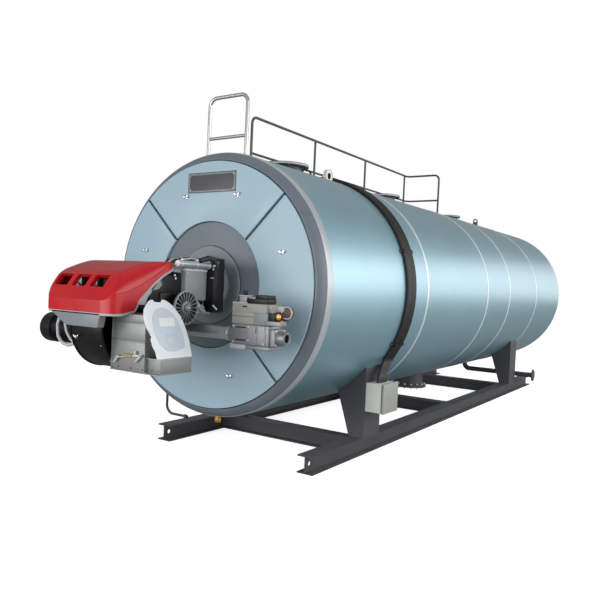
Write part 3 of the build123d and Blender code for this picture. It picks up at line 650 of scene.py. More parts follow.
def blade(middle: Flat, ahead: Flat, pairs: tuple) -> list:
    """Outline of a bar that points outwards.

    Args:
        middle: Where it points from.
        ahead: Unit direction in which it points.
        pairs: Distance outwards and sideways of each corner.

    Returns:
        The outline's points.
    """
    (x, y), (a, b) = middle, ahead
    return [(x + reach * a - half * b, y + reach * b + half * a) for reach, half in pairs]


class Form:
    """A mesh in the making, in boiler millimetres, with one finish for each part."""

    def __init__(self) -> None:
        """Starts an empty form."""
        self.mesh = bmesh.new()
        self.finishes: list[Finish] = []

    def _take(self, part: bmesh.types.BMesh, finish: Finish) -> None:
        """Joins a part's faces to the form under its finish.

        Args:
            part: The part, which is used up.
            finish: What it is made of.
        """
        if finish not in self.finishes:
            self.finishes.append(finish)
        index = self.finishes.index(finish)
        for face in part.faces:
            face.material_index = index
            face.smooth = True
        merge(self.mesh, part)

    @staticmethod
    def _soften(part: bmesh.types.BMesh, width: float, angle: float = 30.0) -> None:
        """Bevels the edges of a part that turn by more than an angle.

        Args:
            part: The part.
            width: Width of the bevel.
            angle: The least turn in degrees.
        """
        if width <= 0:
            return
        sharp = [
            e for e in part.edges
            if len(e.link_faces) == 2 and e.calc_face_angle(0) > radians(angle)
        ]
        bmesh.ops.bevel(
            part, geom=sharp, offset=width, segments=3, profile=0.5, affect="EDGES",
            clamp_overlap=True,
        )

    def block(
        self, low: Point, high: Point, finish: Finish, bevel: float = 2.0
    ) -> None:
        """Adds a box with softened edges.

        Args:
            low: Its lowest corner.
            high: Its highest corner.
            finish: What it is made of.
            bevel: Width of the softened edges.
        """
        part = bmesh.new()
        bmesh.ops.create_cube(part, size=1.0)
        size = [b - a for a, b in zip(low, high)]
        middle = [(a + b) / 2 for a, b in zip(low, high)]
        bmesh.ops.transform(
            part,
            matrix=Matrix.Translation(middle) @ Matrix.Diagonal((*size, 1.0)),
            verts=part.verts,
        )
        self._soften(part, bevel)
        self._take(part, finish)

    def turned(
        self,
        profile: list[Flat],
        centre: Point,
        axis: Axis,
        finish: Finish,
        steps: int = 48,
        closed: bool = False,
    ) -> None:
        """Adds a lathe form round a line.

        Args:
            profile: Radius and distance along the line, in order.
            centre: Where the distances start.
            axis: Direction of the line.
            finish: What it is made of.
            steps: Faces round the line.
            closed: True where the profile's last point joins its first.
        """
        part = bmesh.new()
        rings = []
        for radius, along in profile:
            if radius < 1e-6:
                rings.append([part.verts.new((0.0, 0.0, along))])
                continue
            rings.append([part.verts.new((a, b, along)) for a, b in around(radius, steps)])
        pairs = list(zip(rings, rings[1:]))
        if closed:
            pairs.append((rings[-1], rings[0]))
        for first, second in pairs:
            for step in range(steps):
                after = (step + 1) % steps
                corners = []
                for ring, order in ((first, (step, after)), (second, (after, step))):
                    if len(ring) == 1:
                        corners.append(ring[0])
                    else:
                        corners += [ring[order[0]], ring[order[1]]]
                part.faces.new(corners)
        turns = {
            UP: Matrix.Identity(4),
            BACK: Matrix.Rotation(-pi / 2, 4, "X"),
            RIGHT: Matrix.Rotation(pi / 2, 4, "Y"),
        }
        bmesh.ops.recalc_face_normals(part, faces=part.faces)
        bmesh.ops.transform(
            part, matrix=Matrix.Translation(centre) @ turns[axis], verts=part.verts
        )
        self._take(part, finish)

    def ring(self, profile: list[Flat], finish: Finish, steps: int) -> None:
        """Adds a closed lathe form round the boiler's own axis."""
        self.turned(profile, (0, 0, 0), BACK, finish, steps, closed=True)

    def disc(
        self,
        centre: Point,
        axis: Axis,
        radius: float,
        length: float,
        finish: Finish,
        bevel: float = 1.5,
        steps: int = 40,
        bore: float = 0.0,
    ) -> None:
        """Adds a round bar, plate or ring with softened rims.

        Args:
            centre: Middle of its first face.
            axis: Direction that it runs in.
            radius: Outer radius.
            length: How far it runs.
            finish: What it is made of.
            bevel: Size of the rim's round.
            steps: Faces round it.
            bore: Radius of a hole through it, or zero.
        """
        soft = min(bevel, length / 3, (radius - bore) / 3)
        outer = [
            (radius - soft, 0), (radius - soft * 0.3, soft * 0.3), (radius, soft),
            (radius, length - soft), (radius - soft * 0.3, length - soft * 0.3),
            (radius - soft, length),
        ]
        if bore > 0:
            inner = [
                (bore + soft, length), (bore, length - soft), (bore, soft), (bore + soft, 0)
            ]
            self.turned(outer + inner, centre, axis, finish, steps, closed=True)
        else:
            self.turned([(0, 0)] + outer + [(0, length)], centre, axis, finish, steps)

    def tube(
        self,
        points: list[Point],
        radius: float,
        finish: Finish,
        bend: float = 0.0,
        steps: int = 16,
    ) -> None:
        """Adds a round tube along points, with its corners bent on a radius.

        Args:
            points: Corners of the route.
            radius: The tube's outer radius.
            finish: What it is made of.
            bend: Radius of each bend, or zero for points that are already smooth.
            steps: Faces round the tube.
        """
        route = bent_route([Vector(p) for p in points], bend) if bend else [
            Vector(p) for p in points
        ]
        part = bmesh.new()
        rings = []
        heading = (route[1] - route[0]).normalized()
        side = heading.orthogonal().normalized()
        for index, here in enumerate(route):
            before = route[max(index - 1, 0)]
            after = route[min(index + 1, len(route) - 1)]
            ahead = (after - before).normalized()
            side = (heading.rotation_difference(ahead) @ side).normalized()
            heading = ahead
            up = heading.cross(side)
            places = around(radius, steps)
            rings.append([part.verts.new(here + a * side + b * up) for a, b in places])
        for first, second in zip(rings, rings[1:]):
            join_rows(part, first, second, closed=True)
        part.faces.new(rings[0][::-1])
        part.faces.new(rings[-1])
        bmesh.ops.recalc_face_normals(part, faces=part.faces)
        self._take(part, finish)

    def plate(
        self,
        outline: list[Flat],
        axis: Axis,
        start: float,
        end: float,
        finish: Finish,
        bevel: float = 1.5,
    ) -> None:
        """Adds a flat plate cut to an outline.

        Args:
            outline: Corners as (y, z) for RIGHT, (x, z) for BACK and (x, y) for UP.
            axis: Direction of its thickness.
            start: Where the thickness starts on that axis.
            end: Where it ends.
            finish: What it is made of.
            bevel: Width of the softened edges.
        """
        places = {
            RIGHT: lambda a, b: (start, a, b),
            BACK: lambda a, b: (a, start, b),
            UP: lambda a, b: (a, b, start),
        }
        part = bmesh.new()
        flat = [part.faces.new([part.verts.new(places[axis](a, b)) for a, b in outline])]
        thicken(part, flat, tuple((end - start) * (side is axis) for side in Axis))
        self._soften(part, bevel)
        self._take(part, finish)

    def tilted(
        self,
        outline: list[Flat],
        plane: Matrix,
        thickness: float,
        finish: Finish,
        bevel: float = 1.5,
        opening: list[Flat] | None = None,
    ) -> None:
        """Adds a plate that lies in a slanting plane, with a hole of as many points if wanted.

        Args:
            outline: Corners in the plane.
            plane: Turns the plane's x, y and normal into boiler millimetres.
            thickness: How far it reaches along the normal.
            finish: What it is made of.
            bevel: Width of the softened edges.
            opening: Outline of the hole, point for point with the outer one.
        """
        part = bmesh.new()
        if opening is None:
            flat = [part.faces.new([part.verts.new((a, b, 0)) for a, b in outline])]
        else:
            outer = [part.verts.new((a, b, 0)) for a, b in outline]
            inner = [part.verts.new((a, b, 0)) for a, b in opening]
            flat = [
                part.faces.new((outer[i - 1], outer[i], inner[i], inner[i - 1]))
                for i in range(len(outer))
            ]
        thicken(part, flat, (0, 0, thickness))
        self._soften(part, bevel)
        bmesh.ops.transform(part, matrix=plane, verts=part.verts)
        self._take(part, finish)

    def take_cut(
        self, body: bpy.types.Object, tool: bpy.types.Object, finish: Finish
    ) -> None:
        """Adds a body with another one cut out of it, and clears both away.

        Args:
            body: The body that is kept.
            tool: What is cut out of it.
            finish: What the result is made of.
        """
        cut = body.modifiers.new("cut", "BOOLEAN")
        cut.operation = "DIFFERENCE"
        cut.solver = "EXACT"
        cut.use_self = True
        cut.object = tool
        seen = body.evaluated_get(bpy.context.evaluated_depsgraph_get())
        part = bmesh.new()
        part.from_mesh(seen.to_mesh())
        seen.to_mesh_clear()
        for spare in (body, tool):
            data = spare.data
            bpy.data.objects.remove(spare)
            bpy.data.meshes.remove(data)
        self._take(part, finish)

    def hexagon(
        self, centre: Point, axis: Axis, across: float, height: float, finish: Finish
    ) -> None:
        """Adds a hexagon head or nut, measured across its flats."""
        self.disc(centre, axis, across / sqrt(3), height, finish, bevel=1.2, steps=6)

    def object(self, name: str, slot: str, *stands_for: str, crease: float = 32.0) -> None:
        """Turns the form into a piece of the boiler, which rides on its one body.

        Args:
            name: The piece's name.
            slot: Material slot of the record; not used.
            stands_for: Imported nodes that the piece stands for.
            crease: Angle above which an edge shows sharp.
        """
        bmesh.ops.remove_doubles(self.mesh, verts=self.mesh.verts, dist=0.01)
        for vert in self.mesh.verts:
            vert.co = Site.point(*vert.co)
        data = bpy.data.meshes.new(name)
        self.mesh.to_mesh(data)
        self.mesh.free()
        for finish in self.finishes:
            data.materials.append(finish.material())
        data.set_sharp_from_angle(angle=radians(crease))
        made = linked(name, data)
        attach(made, "root")
        if stands_for:
            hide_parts(*stands_for)
        LOG.info("%s: %d faces", name, len(data.polygons))


def over(node: str) -> tuple[Form, Vector, Vector]:
    """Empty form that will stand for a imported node, with the node's corners in millimetres."""
    return Form(), *box_mm(node)


def arc(
    centre: Flat, radius: float, start: float, end: float, steps: int
) -> list[Flat]:
    """Points along a flat arc.

    Args:
        centre: The arc's centre.
        radius: Its radius.
        start: First angle in degrees.
        end: Last angle in degrees.
        steps: Number of straight pieces.

    Returns:
        The points, both ends among them.
    """
    turns = [radians(start + (end - start) * i / steps) for i in range(steps + 1)]
    return [(centre[0] + radius * cos(t), centre[1] + radius * sin(t)) for t in turns]


def rounded(
    centre: Flat, size: Flat, radius: float, steps: int = 5
) -> list[Flat]:
    """Outline of a rectangle with round corners.

    Args:
        centre: Its centre.
        size: Its width and height.
        radius: Corner radius.
        steps: Straight pieces in each corner.

    Returns:
        The outline's points, counterclockwise.
    """
    half = (size[0] / 2 - radius, size[1] / 2 - radius)
    points = []
    for index, (right, up) in enumerate(((1, 1), (-1, 1), (-1, -1), (1, -1))):
        corner = (centre[0] + right * half[0], centre[1] + up * half[1])
        points += arc(corner, radius, 90 * index, 90 * index + 90, steps)
    return points


def bent_route(corners: list[Vector], bend: float, steps: int = 8) -> list[Vector]:
    """Rounds the corners of a route on one radius.

    Args:
        corners: The route's points.
        bend: Radius of the bends.
        steps: Points on each bend.

    Returns:
        The points of the bent route.
    """
    route = [corners[0]]
    for before, here, after in zip(corners, corners[1:], corners[2:]):
        into, out = (here - before).normalized(), (after - here).normalized()
        turn = into.angle(out)
        if turn < 1e-3:
            route.append(here)
            continue
        reach = bend * tan(turn / 2)
        start, end = here - into * reach, here + out * reach
        inward = (out - into).normalized()
        centre = here + inward * (bend / cos(turn / 2))
        for step in range(steps + 1):
            share = step / steps
            spoke = (start - centre).normalized().slerp((end - centre).normalized(), share)
            route.append(centre + bend * spoke)
    route.append(corners[-1])
    return route


def keep_node(name: str, finish: Finish) -> None:
    """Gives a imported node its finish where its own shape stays.

    Args:
        name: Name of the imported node.
        finish: What it is made of.
    """
    node = frame["nodes"][name]
    node.data.materials.clear()
    node.data.materials.append(finish.material())
    LOG.info("%s: packed shape kept", name)


@dataclass
class Shell:
    """Cladding, trim bands and the rim at the rear end."""

    wall: float = 12.0
    band: float = 40.0
    band_foot: float = SHELL_RADIUS + 0.3
    band_face: float = SHELL_RADIUS + 3.3
    rim_depth: float = 110.0
    rim_bend: float = 24.0

    def build(self) -> None:
        """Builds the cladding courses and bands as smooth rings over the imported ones."""
        for index in range(1, 6):
            low, high = box_mm(f"cladding_course_{index}")
            form = Form()
            inner = SHELL_RADIUS - self.wall
            form.ring(
                [(inner, low.y), (SHELL_RADIUS, low.y), (SHELL_RADIUS, high.y), (inner, high.y)],
                CLADDING, ROUND_STEPS,
            )
            form.object(f"cladding_sheet_{index}", "cladding_blue", f"cladding_course_{index}")
        self.bands()
        self.rear()

    def bands(self) -> None:
        """Builds the bright bands over the sheet joints."""
        form = Form()
        for index in range(2, 6):
            joint = box_mm(f"cladding_course_{index}")[0].y
            start, end = joint - self.band / 2, joint + self.band / 2
            foot, face = self.band_foot, self.band_face
            form.ring(
                [(foot, start), (face - 0.6, start), (face, start + 2), (face, end - 2),
                 (face - 0.6, end), (foot, end)],
                BAND_SHEEN, ROUND_STEPS,
            )
        form.object("joint_bands", "trim_steel", "trim_bands")

    def rear(self) -> None:
        """Dresses the rear rim, cover and flue outlet."""
        form, low, high = over("rear_rim")
        inner, bend = SHELL_RADIUS - self.rim_depth, self.rim_bend
        corner = arc((SHELL_RADIUS - bend, high.y - bend), bend, 90, 0, 10)
        form.ring(
            [(inner, high.y), *corner, (SHELL_RADIUS, low.y), (inner, low.y)],
            CLADDING, ROUND_STEPS,
        )
        form.object("rear_rim_sheet", "cladding_blue", "rear_rim")
        keep_node("rear_cover", DOOR)
        keep_node("flue_outlet", FRAME)


@dataclass
class FrontDoor:
    """Blue sector panels on a plate painted dark as the shade in their gaps, the ring round them,
    the burner's port and the plate.
    """

    panel_radius: float = 1018.0
    panel_gap: float = 22.0
    panel_thickness: float = 40.0
    port_radius: float = 524.0
    knob_reach: float = 780.0
    knob_angle: float = 20.5
    ring_inner: float = 1026.0
    ring_outer: float = 1093.0
    stud_circle: float = 283.0

    def build(self) -> None:
        """Builds the door's pieces from the outside in."""
        self.panels()
        self.knobs()
        self.ring()
        self.port()
        self.nameplate()

    def panels(self) -> None:
        """Four sector panels with softened rims, a straight gap between each two."""
        form = Form()
        half_gap = self.panel_gap / 2
        outer_turn = 45 - degrees(asin(half_gap / self.panel_radius))
        inner_turn = 45 - degrees(asin(half_gap / self.port_radius))
        for quarter in (0, 90, 180, 270):
            outline = arc((0, 0), self.panel_radius, quarter - outer_turn, quarter + outer_turn, 48)
            outline += arc((0, 0), self.port_radius, quarter + inner_turn, quarter - inner_turn, 32)
            form.plate(outline, BACK, 0, self.panel_thickness, PANEL, bevel=5)
        form.object("sector_panels", "panel_blue", "door_panels")
        # The plate shows only in the gaps between the panels; its dark teal is painted shade.
        keep_node("door_plate", GAP_SHADE)

    def knobs(self) -> None:
        """Wing nuts that hold the panels, each on its washer."""
        form = Form()
        for side in (-1, 1):
            for x, z in around(self.knob_reach, 4, side * self.knob_angle):
                form.disc((x, -4, z), BACK, 17, 4, TRIM, 1, 24)
                form.disc((x, -20, z), BACK, 9, 17, TRIM, 2, 20)
                form.disc((x, -28, z), BACK, 5, 10, TRIM, 1, 16)
                for wing in (-1, 1):
                    lobe = [(x + wing * a, z + b) for a, b in (
                        (6, -8), (20, -5), (29, 4), (30, 14), (23, 19), (14, 15), (6, 8)
                    )]
                    form.plate(lobe, BACK, -21, -15, TRIM, 1.5)
        form.object("panel_wing_nuts", "trim_steel", "panel_knobs")

    def ring(self) -> None:
        """Grey ring with a rolled front edge, and the bright trim behind it."""
        form = Form()
        knuckle = [
            (self.ring_inner, 82), (self.ring_inner, 16), (self.ring_inner + 2, 14),
            (self.ring_inner + 7, 14), (1046, 22), (1060, 33), (1070, 43), (1079, 54),
            (1086, 65), (1091, 76), (self.ring_outer, 82),
        ]
        form.turned(knuckle, (0, 0, 0), BACK, DOOR, ROUND_STEPS, closed=True)
        form.object("rolled_front_ring", "door_grey", "front_ring")
        form, low, high = over("front_trim")
        form.ring(
            [(966, low.y), (high.x - 9, low.y), (high.x - 3, low.y + 8), (high.x, low.y + 18),
             (high.x, high.y - 1), (high.x - 1, high.y), (966, high.y)],
            RING_EDGE, ROUND_STEPS,
        )
        form.object("front_edge_strip", "trim_steel", "front_trim")

    def port(self) -> None:
        """Recessed ring and the burner's mounting plate, with its rim and studs."""
        form, low, high = over("burner_port_ring")
        form.ring(
            [(318, low.y), (high.x - 3, low.y), (high.x, low.y + 3), (high.x, high.y),
             (318, high.y)],
            DOOR, 128,
        )
        form.object("port_ring_plate", "door_grey", "burner_port_ring")
        form, low, high = over("burner_plate")
        face = low.y
        form.ring(
            [(200, face), (296, face), (301, face - 1), (318, face - 1), (high.x, face + 5),
             (high.x, high.y), (200, high.y)],
            PORT_PLATE, 128,
        )
        # A thin ring in the gap finish just outside the plate's rim: a painted shadow line round
        # the plate.
        form.ring(
            [(high.x + 0.5, face + 15), (high.x + 7, face + 15), (high.x + 7, face + 13),
             (high.x + 0.5, face + 13)],
            GAP_SHADE, 128,
        )
        for x, z in around(self.stud_circle, 16, 11.25):
            form.disc((x, face - 4, z), BACK, 6, 4, GREY, 2, 12)
        form.object("burner_mounting_plate", "door_grey", "burner_plate")

    def nameplate(self) -> None:
        """Dark nameplate with a double light border and four rivets, left blank."""
        form, low, high = over("nameplate")
        middle = ((low.x + high.x) / 2, (low.z + high.z) / 2)
        size = (high.x - low.x, high.z - low.z)
        rivet = (size[0] / 2 - 26, size[1] / 2 - 26)
        plane = Matrix.Translation((middle[0], low.y, middle[1])) @ Matrix.Rotation(
            pi / 2, 4, "X"
        )
        form.tilted(rounded((0, 0), size, 6), plane, -(high.y - low.y), PLATE, 0.8)
        for inset, width in ((9, 2.6), (17, 1.4)):
            outer = (size[0] - 2 * inset, size[1] - 2 * inset)
            inner = (outer[0] - 2 * width, outer[1] - 2 * width)
            form.tilted(
                rounded((0, 0), outer, 5), plane, 0.8, BORDER, 0, rounded((0, 0), inner, 4)
            )
        for x, z in CORNERS:
            place = (middle[0] + x * rivet[0], low.y - 2, middle[1] + z * rivet[1])
            form.disc(place, BACK, 4, 2, TRIM, 1, 14)
        form.object("blank_nameplate", "plate_grey", "nameplate")


@dataclass
class TopFittings:
    """Flanged nozzles, gauge with its siphon and valve, lug, vent and handrail."""

    rail: float = 13.5
    hoop_bar: float = 1320.0

    def build(self) -> None:
        """Builds the fittings from front to back."""
        for name, pipe, circle, bolt in (
            ("safety_valve_nozzle", 162, 410, 36), ("steam_nozzle", 137, 355, 36),
            ("rear_nozzle", 110, 295, 30),
        ):
            self.nozzle(name, pipe, circle, bolt)
        self.gauge()
        self.siphon()
        self.lug()
        self.handrail()
        self.hoop()

    def nozzle(self, name: str, pipe: float, circle: float, across_flats: float) -> None:
        """One pipe stub with its flange, raised face and studs.

        Args:
            name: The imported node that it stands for.
            pipe: The pipe's radius.
            circle: Bolt circle.
            across_flats: Size of the nuts on the joined flange, which the raised face clears.
        """
        low, high = box_mm(name)
        y = (low.y + high.y) / 2
        radius = (high.y - low.y) / 2
        top, thick = high.z, 28
        form = Form()
        foot = SHELL_RADIUS - 14
        form.turned(
            [(pipe - 9, top - 2), (pipe + 6, top), (circle / 2 - across_flats * 0.8, top),
             (circle / 2 - across_flats * 0.8 + 1, top - 3), (radius - 2, top - 3),
             (radius, top - 5), (radius, top - thick + 2), (radius - 2, top - thick),
             (pipe + 5, top - thick), (pipe, top - thick - 5), (pipe, foot), (pipe - 9, foot)],
            (0, y, 0), UP, FRAME, 64, closed=True,
        )
        for x, back in around(circle / 2, 12, 15):
            form.disc((x, y + back, top - thick - 10), UP, 9, thick + 8, FRAME, 1, 14)
            form.hexagon((x, y + back, top - thick - 8), UP, 24, 8, FRAME)
        # A thin pale band wrapped round the flange's edge: a painted highlight on its rim.
        form.turned(
            [(radius - 1, top - thick + 3), (radius + 0.6, top - thick + 3),
             (radius + 0.6, top - 8), (radius - 1, top - 8)],
            (0, y, 0), UP, STRIP, 64, closed=True,
        )
        form.object(f"{name}_flange", "frame_grey", name)

    def gauge(self) -> None:
        """Pressure gauge: case, white dial, pointer, glass rim and stem."""
        form, low, high = over("pressure_gauge")
        x, y = low.x, (low.y + high.y) / 2
        radius = (high.y - low.y) / 2
        z = high.z - radius
        deep = high.x - low.x
        form.turned(
            [(0, 0), (radius - 10, 0), (radius - 4, 4), (radius - 4, deep - 12),
             (radius, deep - 11), (radius, deep - 2), (radius - 2, deep), (radius - 7, deep),
             (radius - 7, deep - 7), (0, deep - 7)],
            (x, y, z), RIGHT, DIAL, 56,
        )
        form.disc((x + deep - 7, y, z), RIGHT, 4.5, 4, BLACK, 1, 20)
        form.plate(
            [(y - 3, z - 16), (y + 4, z - 14), (y + 26, z + 40), (y + 24, z + 41)],
            RIGHT, x + deep - 6, x + deep - 5, BLACK, 0,
        )
        for a, b in around(1.0, 11, 225, -297):
            ends = [(x + deep - 7, y + r * a, z + r * b) for r in (radius - 20, radius - 11)]
            form.tube(ends, 1.6, BLACK, steps=6)
        stem = x + deep / 2
        form.disc((stem, y, SHELL_RADIUS - 4), UP, 12, z - radius - SHELL_RADIUS + 12, BLACK, 2, 24)
        form.hexagon((stem, y, z - radius - 16), UP, 27, 16, BRASS)
        form.disc((stem, y, SHELL_RADIUS), UP, 20, 6, FRAME, 2, 28)
        form.object("dial_gauge", "gauge_white", "pressure_gauge")

    def siphon(self) -> None:
        """Siphon pipe from the first nozzle to the gauge, with its shut-off cock."""
        form, low, high = over("gauge_siphon")
        x = (low.x + high.x) / 2
        z = low.z + 9
        start = low.y
        form.tube(
            [(x, start, z), (x, start + 150, z), (x, start + 230, z + 80),
             (x, start + 330, z + 80), (x, start + 430, z), (x, high.y, z)],
            9, BLACK, bend=34, steps=18,
        )
        for y in (start + 40, start + 500):
            form.hexagon((x, y, z), BACK, 27, 18, BLACK)
        cock = start + 560
        form.hexagon((x, cock - 22, z), BACK, 30, 44, BLACK)
        form.disc((x, cock, z + 10), UP, 8, 42, BLACK, 1, 18)
        form.tube([(x - 28, cock, z + 50), (x + 28, cock, z + 50)], 6, BLACK, steps=12)
        form.object("siphon_and_cock", "black_paint", "gauge_siphon")

    def lug(self) -> None:
        """Lifting eye at the rear, with the weld at its foot, and the vent stub behind it."""
        form, low, high = over("lifting_lug")
        half = (high.x - low.x) / 2
        crown = high.z - half
        foot = SHELL_RADIUS - 12
        hole = arc((0, crown), 22, -90, 270, 40)[:-1]
        plane = Matrix.Translation((0, high.y, 0)) @ Matrix.Rotation(pi / 2, 4, "X")
        ring = arc((0, crown), half, -90, 270, 40)[:-1]
        form.tilted(ring, plane, high.y - low.y, FRAME, 2.0, hole)
        form.block((-half, low.y, foot), (half, high.y, crown - 20), FRAME, 2)
        for y in (low.y - 5, high.y + 5):
            form.tube([(-half, y, SHELL_RADIUS), (half, y, SHELL_RADIUS)], 7, FRAME, steps=12)
        form.object("lifting_eye", "frame_grey", "lifting_lug")
        form, low, high = over("vent_stub")
        y = (low.y + high.y) / 2
        form.disc((0, y, SHELL_RADIUS - 4), UP, 30, high.z - SHELL_RADIUS + 4, FRAME, 3, 36)
        form.hexagon((0, y, high.z - 1), UP, 34, 14, FRAME)
        form.object("vent_plug", "frame_grey", "vent_stub")

    def collar(self, form: Form, x: float, y: float, finish: Finish) -> None:
        """A round foot plate where a post meets the shell.

        Args:
            form: The form that it joins.
            x: Where across the shell.
            y: Where along the shell.
            finish: What it is made of.
        """
        top = sqrt(SHELL_RADIUS**2 - x**2)
        lean = asin(x / SHELL_RADIUS)
        plane = Matrix.Translation((x, y, top - 2)) @ Matrix.Rotation(lean, 4, "Y")
        form.tilted(arc((0, 0), 32, 0, 360, 28)[:-1], plane, 7, finish, 1.5)

    def handrail(self) -> None:
        """Top rail, lower rail and posts in dark tube, with their feet."""
        form, low, high = over("handrail_top")
        left = low.x + self.rail
        right = high.x - self.rail
        start, end = low.y + self.rail, high.y - self.rail
        top = high.z - self.rail
        lower = box_mm("handrail_lower")
        lower_z = (lower[0].z + lower[1].z) / 2
        foot = sqrt(SHELL_RADIUS**2 - left**2) - 10
        form.tube(
            [(left, start, foot), (left, start, top), (left, end, top), (right, end, top),
             (right, end, SHELL_RADIUS - 10)],
            self.rail, RAIL, bend=70, steps=20,
        )
        form.tube(
            [(left, start, lower_z), (left, end, lower_z), (right, end, lower_z)],
            self.rail - 1, RAIL, bend=70, steps=18,
        )
        for y in (2310.0, 3575.0, 4840.0):
            form.tube([(left, y, foot), (left, y, top)], self.rail - 0.5, RAIL, steps=18)
            self.collar(form, left, y, RAIL)
        self.collar(form, left, start, RAIL)
        self.collar(form, right, end, RAIL)
        form.object(
            "handrail_tubes", "rail_grey", "handrail_top", "handrail_lower", "handrail_posts"
        )

    def hoop(self) -> None:
        """Bright hoop at the top of the ladder, with its cross bar."""
        form, low, high = over("ladder_hoop")
        radius = (high.y - low.y) / 2
        left, right = low.x + radius, high.x - radius
        y = (low.y + high.y) / 2
        top = high.z - radius
        form.tube(
            [(left, y, sqrt(SHELL_RADIUS**2 - left**2) - 10), (left, y, top), (right, y, top),
             (right, y, SHELL_RADIUS - 8)],
            radius, HOOP, bend=74, steps=24,
        )
        form.tube([(left, y, self.hoop_bar), (right, y, self.hoop_bar)], radius - 2, HOOP, steps=20)
        for x in (left, right):
            self.collar(form, x, y, HOOP)
        form.object("ladder_hoop_tube", "hoop_steel", "ladder_hoop")


@dataclass
class Harness:
    """Control cables over the right side, their clamps, and the junction box that they enter."""

    radius: float = 15.0
    pitch: float = 32.0
    count: int = 6
    middle_y: float = 1600.0
    start_angle: float = 76.0
    leave_angle: float = -31.0
    tail: float = 100.0
    bend: float = 72.0

    def build(self) -> None:
        """Builds cables, ties, clamps and the junction box."""
        self.box()
        self.cables()
        self.clamps()

    def lane_point(self, angle: float, y: float, lift: float = 0.0) -> Point:
        """A point on the cables' circle round the shell.

        Args:
            angle: Degrees up from the boiler's right side.
            y: Where along the shell.
            lift: Distance off the circle.

        Returns:
            The point.
        """
        reach = SHELL_RADIUS + 0.3 + self.radius + lift
        turn = radians(angle)
        return (reach * cos(turn), y, reach * sin(turn))

    def cables(self) -> None:
        """Six sheathed cables, a little uneven as laid, each bent into the box's top."""
        form, low, high = over("junction_box")
        entry_x = low.x + 86
        entry_y = (low.y + 1562) / 2
        for lane in range(self.count):
            step = lane - (self.count - 1) / 2
            y = self.middle_y + step * self.pitch
            swing = 3.0 * sin(2.4 * lane)
            arc_points = [
                Vector(self.lane_point(a, y + swing * sin(radians(a * 3 + 40 * lane))))
                for a in range(int(self.start_angle), int(self.leave_angle) - 1, -3)
            ]
            leave = Vector(self.lane_point(self.leave_angle, y))
            turn = radians(self.leave_angle)
            out = leave + self.tail * Vector((sin(turn), 0, -cos(turn)))
            box_y = entry_y + step * 29
            above = Vector((entry_x, box_y, high.z + 70))
            entry = Vector((entry_x, box_y, high.z - 2))
            lower = bent_route([leave, out, above, entry], self.bend, 10)
            route = arc_points[:-1] + lower
            form.tube([tuple(p) for p in route], self.radius, CABLE, steps=14)
            form.disc((entry_x, box_y, high.z), UP, 15, 16, GLAND, 3, 20)
            form.hexagon((entry_x, box_y, high.z), UP, 32, 8, GLAND)
        form.object("control_cables", "cable_black", "cable_harness")

    def clamps(self) -> None:
        """Two strap clamps with feet and screws, and a cable tie near the top."""
        form = Form()
        half = self.count * self.pitch / 2
        for angle in (20.0, -26.0):
            self.strap(form, angle, half, 30.0, 5.0, 2 * self.radius + 1)
        self.strap(form, 68.0, half - 4, 12.0, 3.0, 2 * self.radius)
        form.object("cable_clamps", "black_paint", "harness_clamps")

    def strap(
        self, form: Form, angle: float, half: float, width: float, thick: float, rise: float
    ) -> None:
        """One strap over the cables, turned down at both ends to a screwed foot.

        Args:
            form: The form that it joins.
            angle: Where it lies round the shell, in degrees.
            half: Half of the cables' whole width.
            width: Its width round the shell.
            thick: Its thickness.
            rise: Height of its back over the shell.
        """
        turn = radians(angle)
        out = Vector((cos(turn), 0, sin(turn)))
        down = Vector((sin(turn), 0, -cos(turn)))
        base = out * (SHELL_RADIUS + 0.4) + Vector((0, self.middle_y, 0))
        back = Vector((0, 1, 0))
        normal = -down if back.cross(out).dot(down) < 0 else down
        plane = plane_at(base - normal * width / 2, back, out, normal)
        foot = half + 34
        profile = [
            (-foot, 0), (-half - 4, 0), (-half - 4, rise - 6), (-half + 4, rise), (half - 4, rise),
            (half + 4, rise - 6), (half + 4, 0), (foot, 0), (foot, thick),
            (half + 4 + thick, thick), (half + 4 + thick, rise - 4),
            (half - 2, rise + thick), (-half + 2, rise + thick), (-half - 4 - thick, rise - 4),
            (-half - 4 - thick, thick), (-foot, thick),
        ]
        form.tilted(profile, plane, width, BLACK, 1.0)
        if width > 20:
            for side in (-1, 1):
                place = base + Vector((0, side * (half + 22), 0)) + out * thick
                head = Matrix.Translation(place) @ out.to_track_quat("Z", "Y").to_matrix().to_4x4()
                form.tilted(arc((0, 0), 7, 0, 360, 6)[:-1], head, 6, ZINC, 1)

    def box(self) -> None:
        """Sheet-metal box with a folded door, hinges, a lock and a gland."""
        form, low, high = over("junction_box")
        door_low, door_high = box_mm("junction_box_door")
        back = door_high.y - 6
        form.block((low.x, door_low.y + 6, low.z), (door_low.x - 1, back, high.z), BEIGE, 4)
        # The door takes a darker copy of the box's powder coat: painted shade on its face.
        form.block(door_low, door_high, BEIGE_DOOR_SHADE, 5)
        fold = (door_low.x + 2, door_high.y - 4, door_high.z - 8)
        form.block(door_low + Vector((-6, 4, 8)), fold, BLACK, 0)
        middle = (door_low.z + door_high.z) / 2
        form.disc((door_high.x - 1, door_low.y + 24, middle), RIGHT, 11, 5, ZINC, 1.5, 24)
        form.block(
            (door_high.x + 4, door_low.y + 22.5, middle - 7),
            (door_high.x + 5, door_low.y + 25.5, middle + 7), BLACK, 0,
        )
        for z in (door_low.z + 45, door_high.z - 45):
            form.disc((door_low.x - 8, back + 4, z - 20), UP, 6, 40, ZINC, 1, 16)
        gland_x, gland_z = door_high.x - 75, high.z - 130
        form.hexagon((gland_x, back, gland_z), BACK, 30, 10, GLAND)
        form.disc((gland_x, back + 8, gland_z), BACK, 13, 26, GLAND, 4, 24)
        form.object("junction_box_case", "box_beige", "junction_box", "junction_box_door")


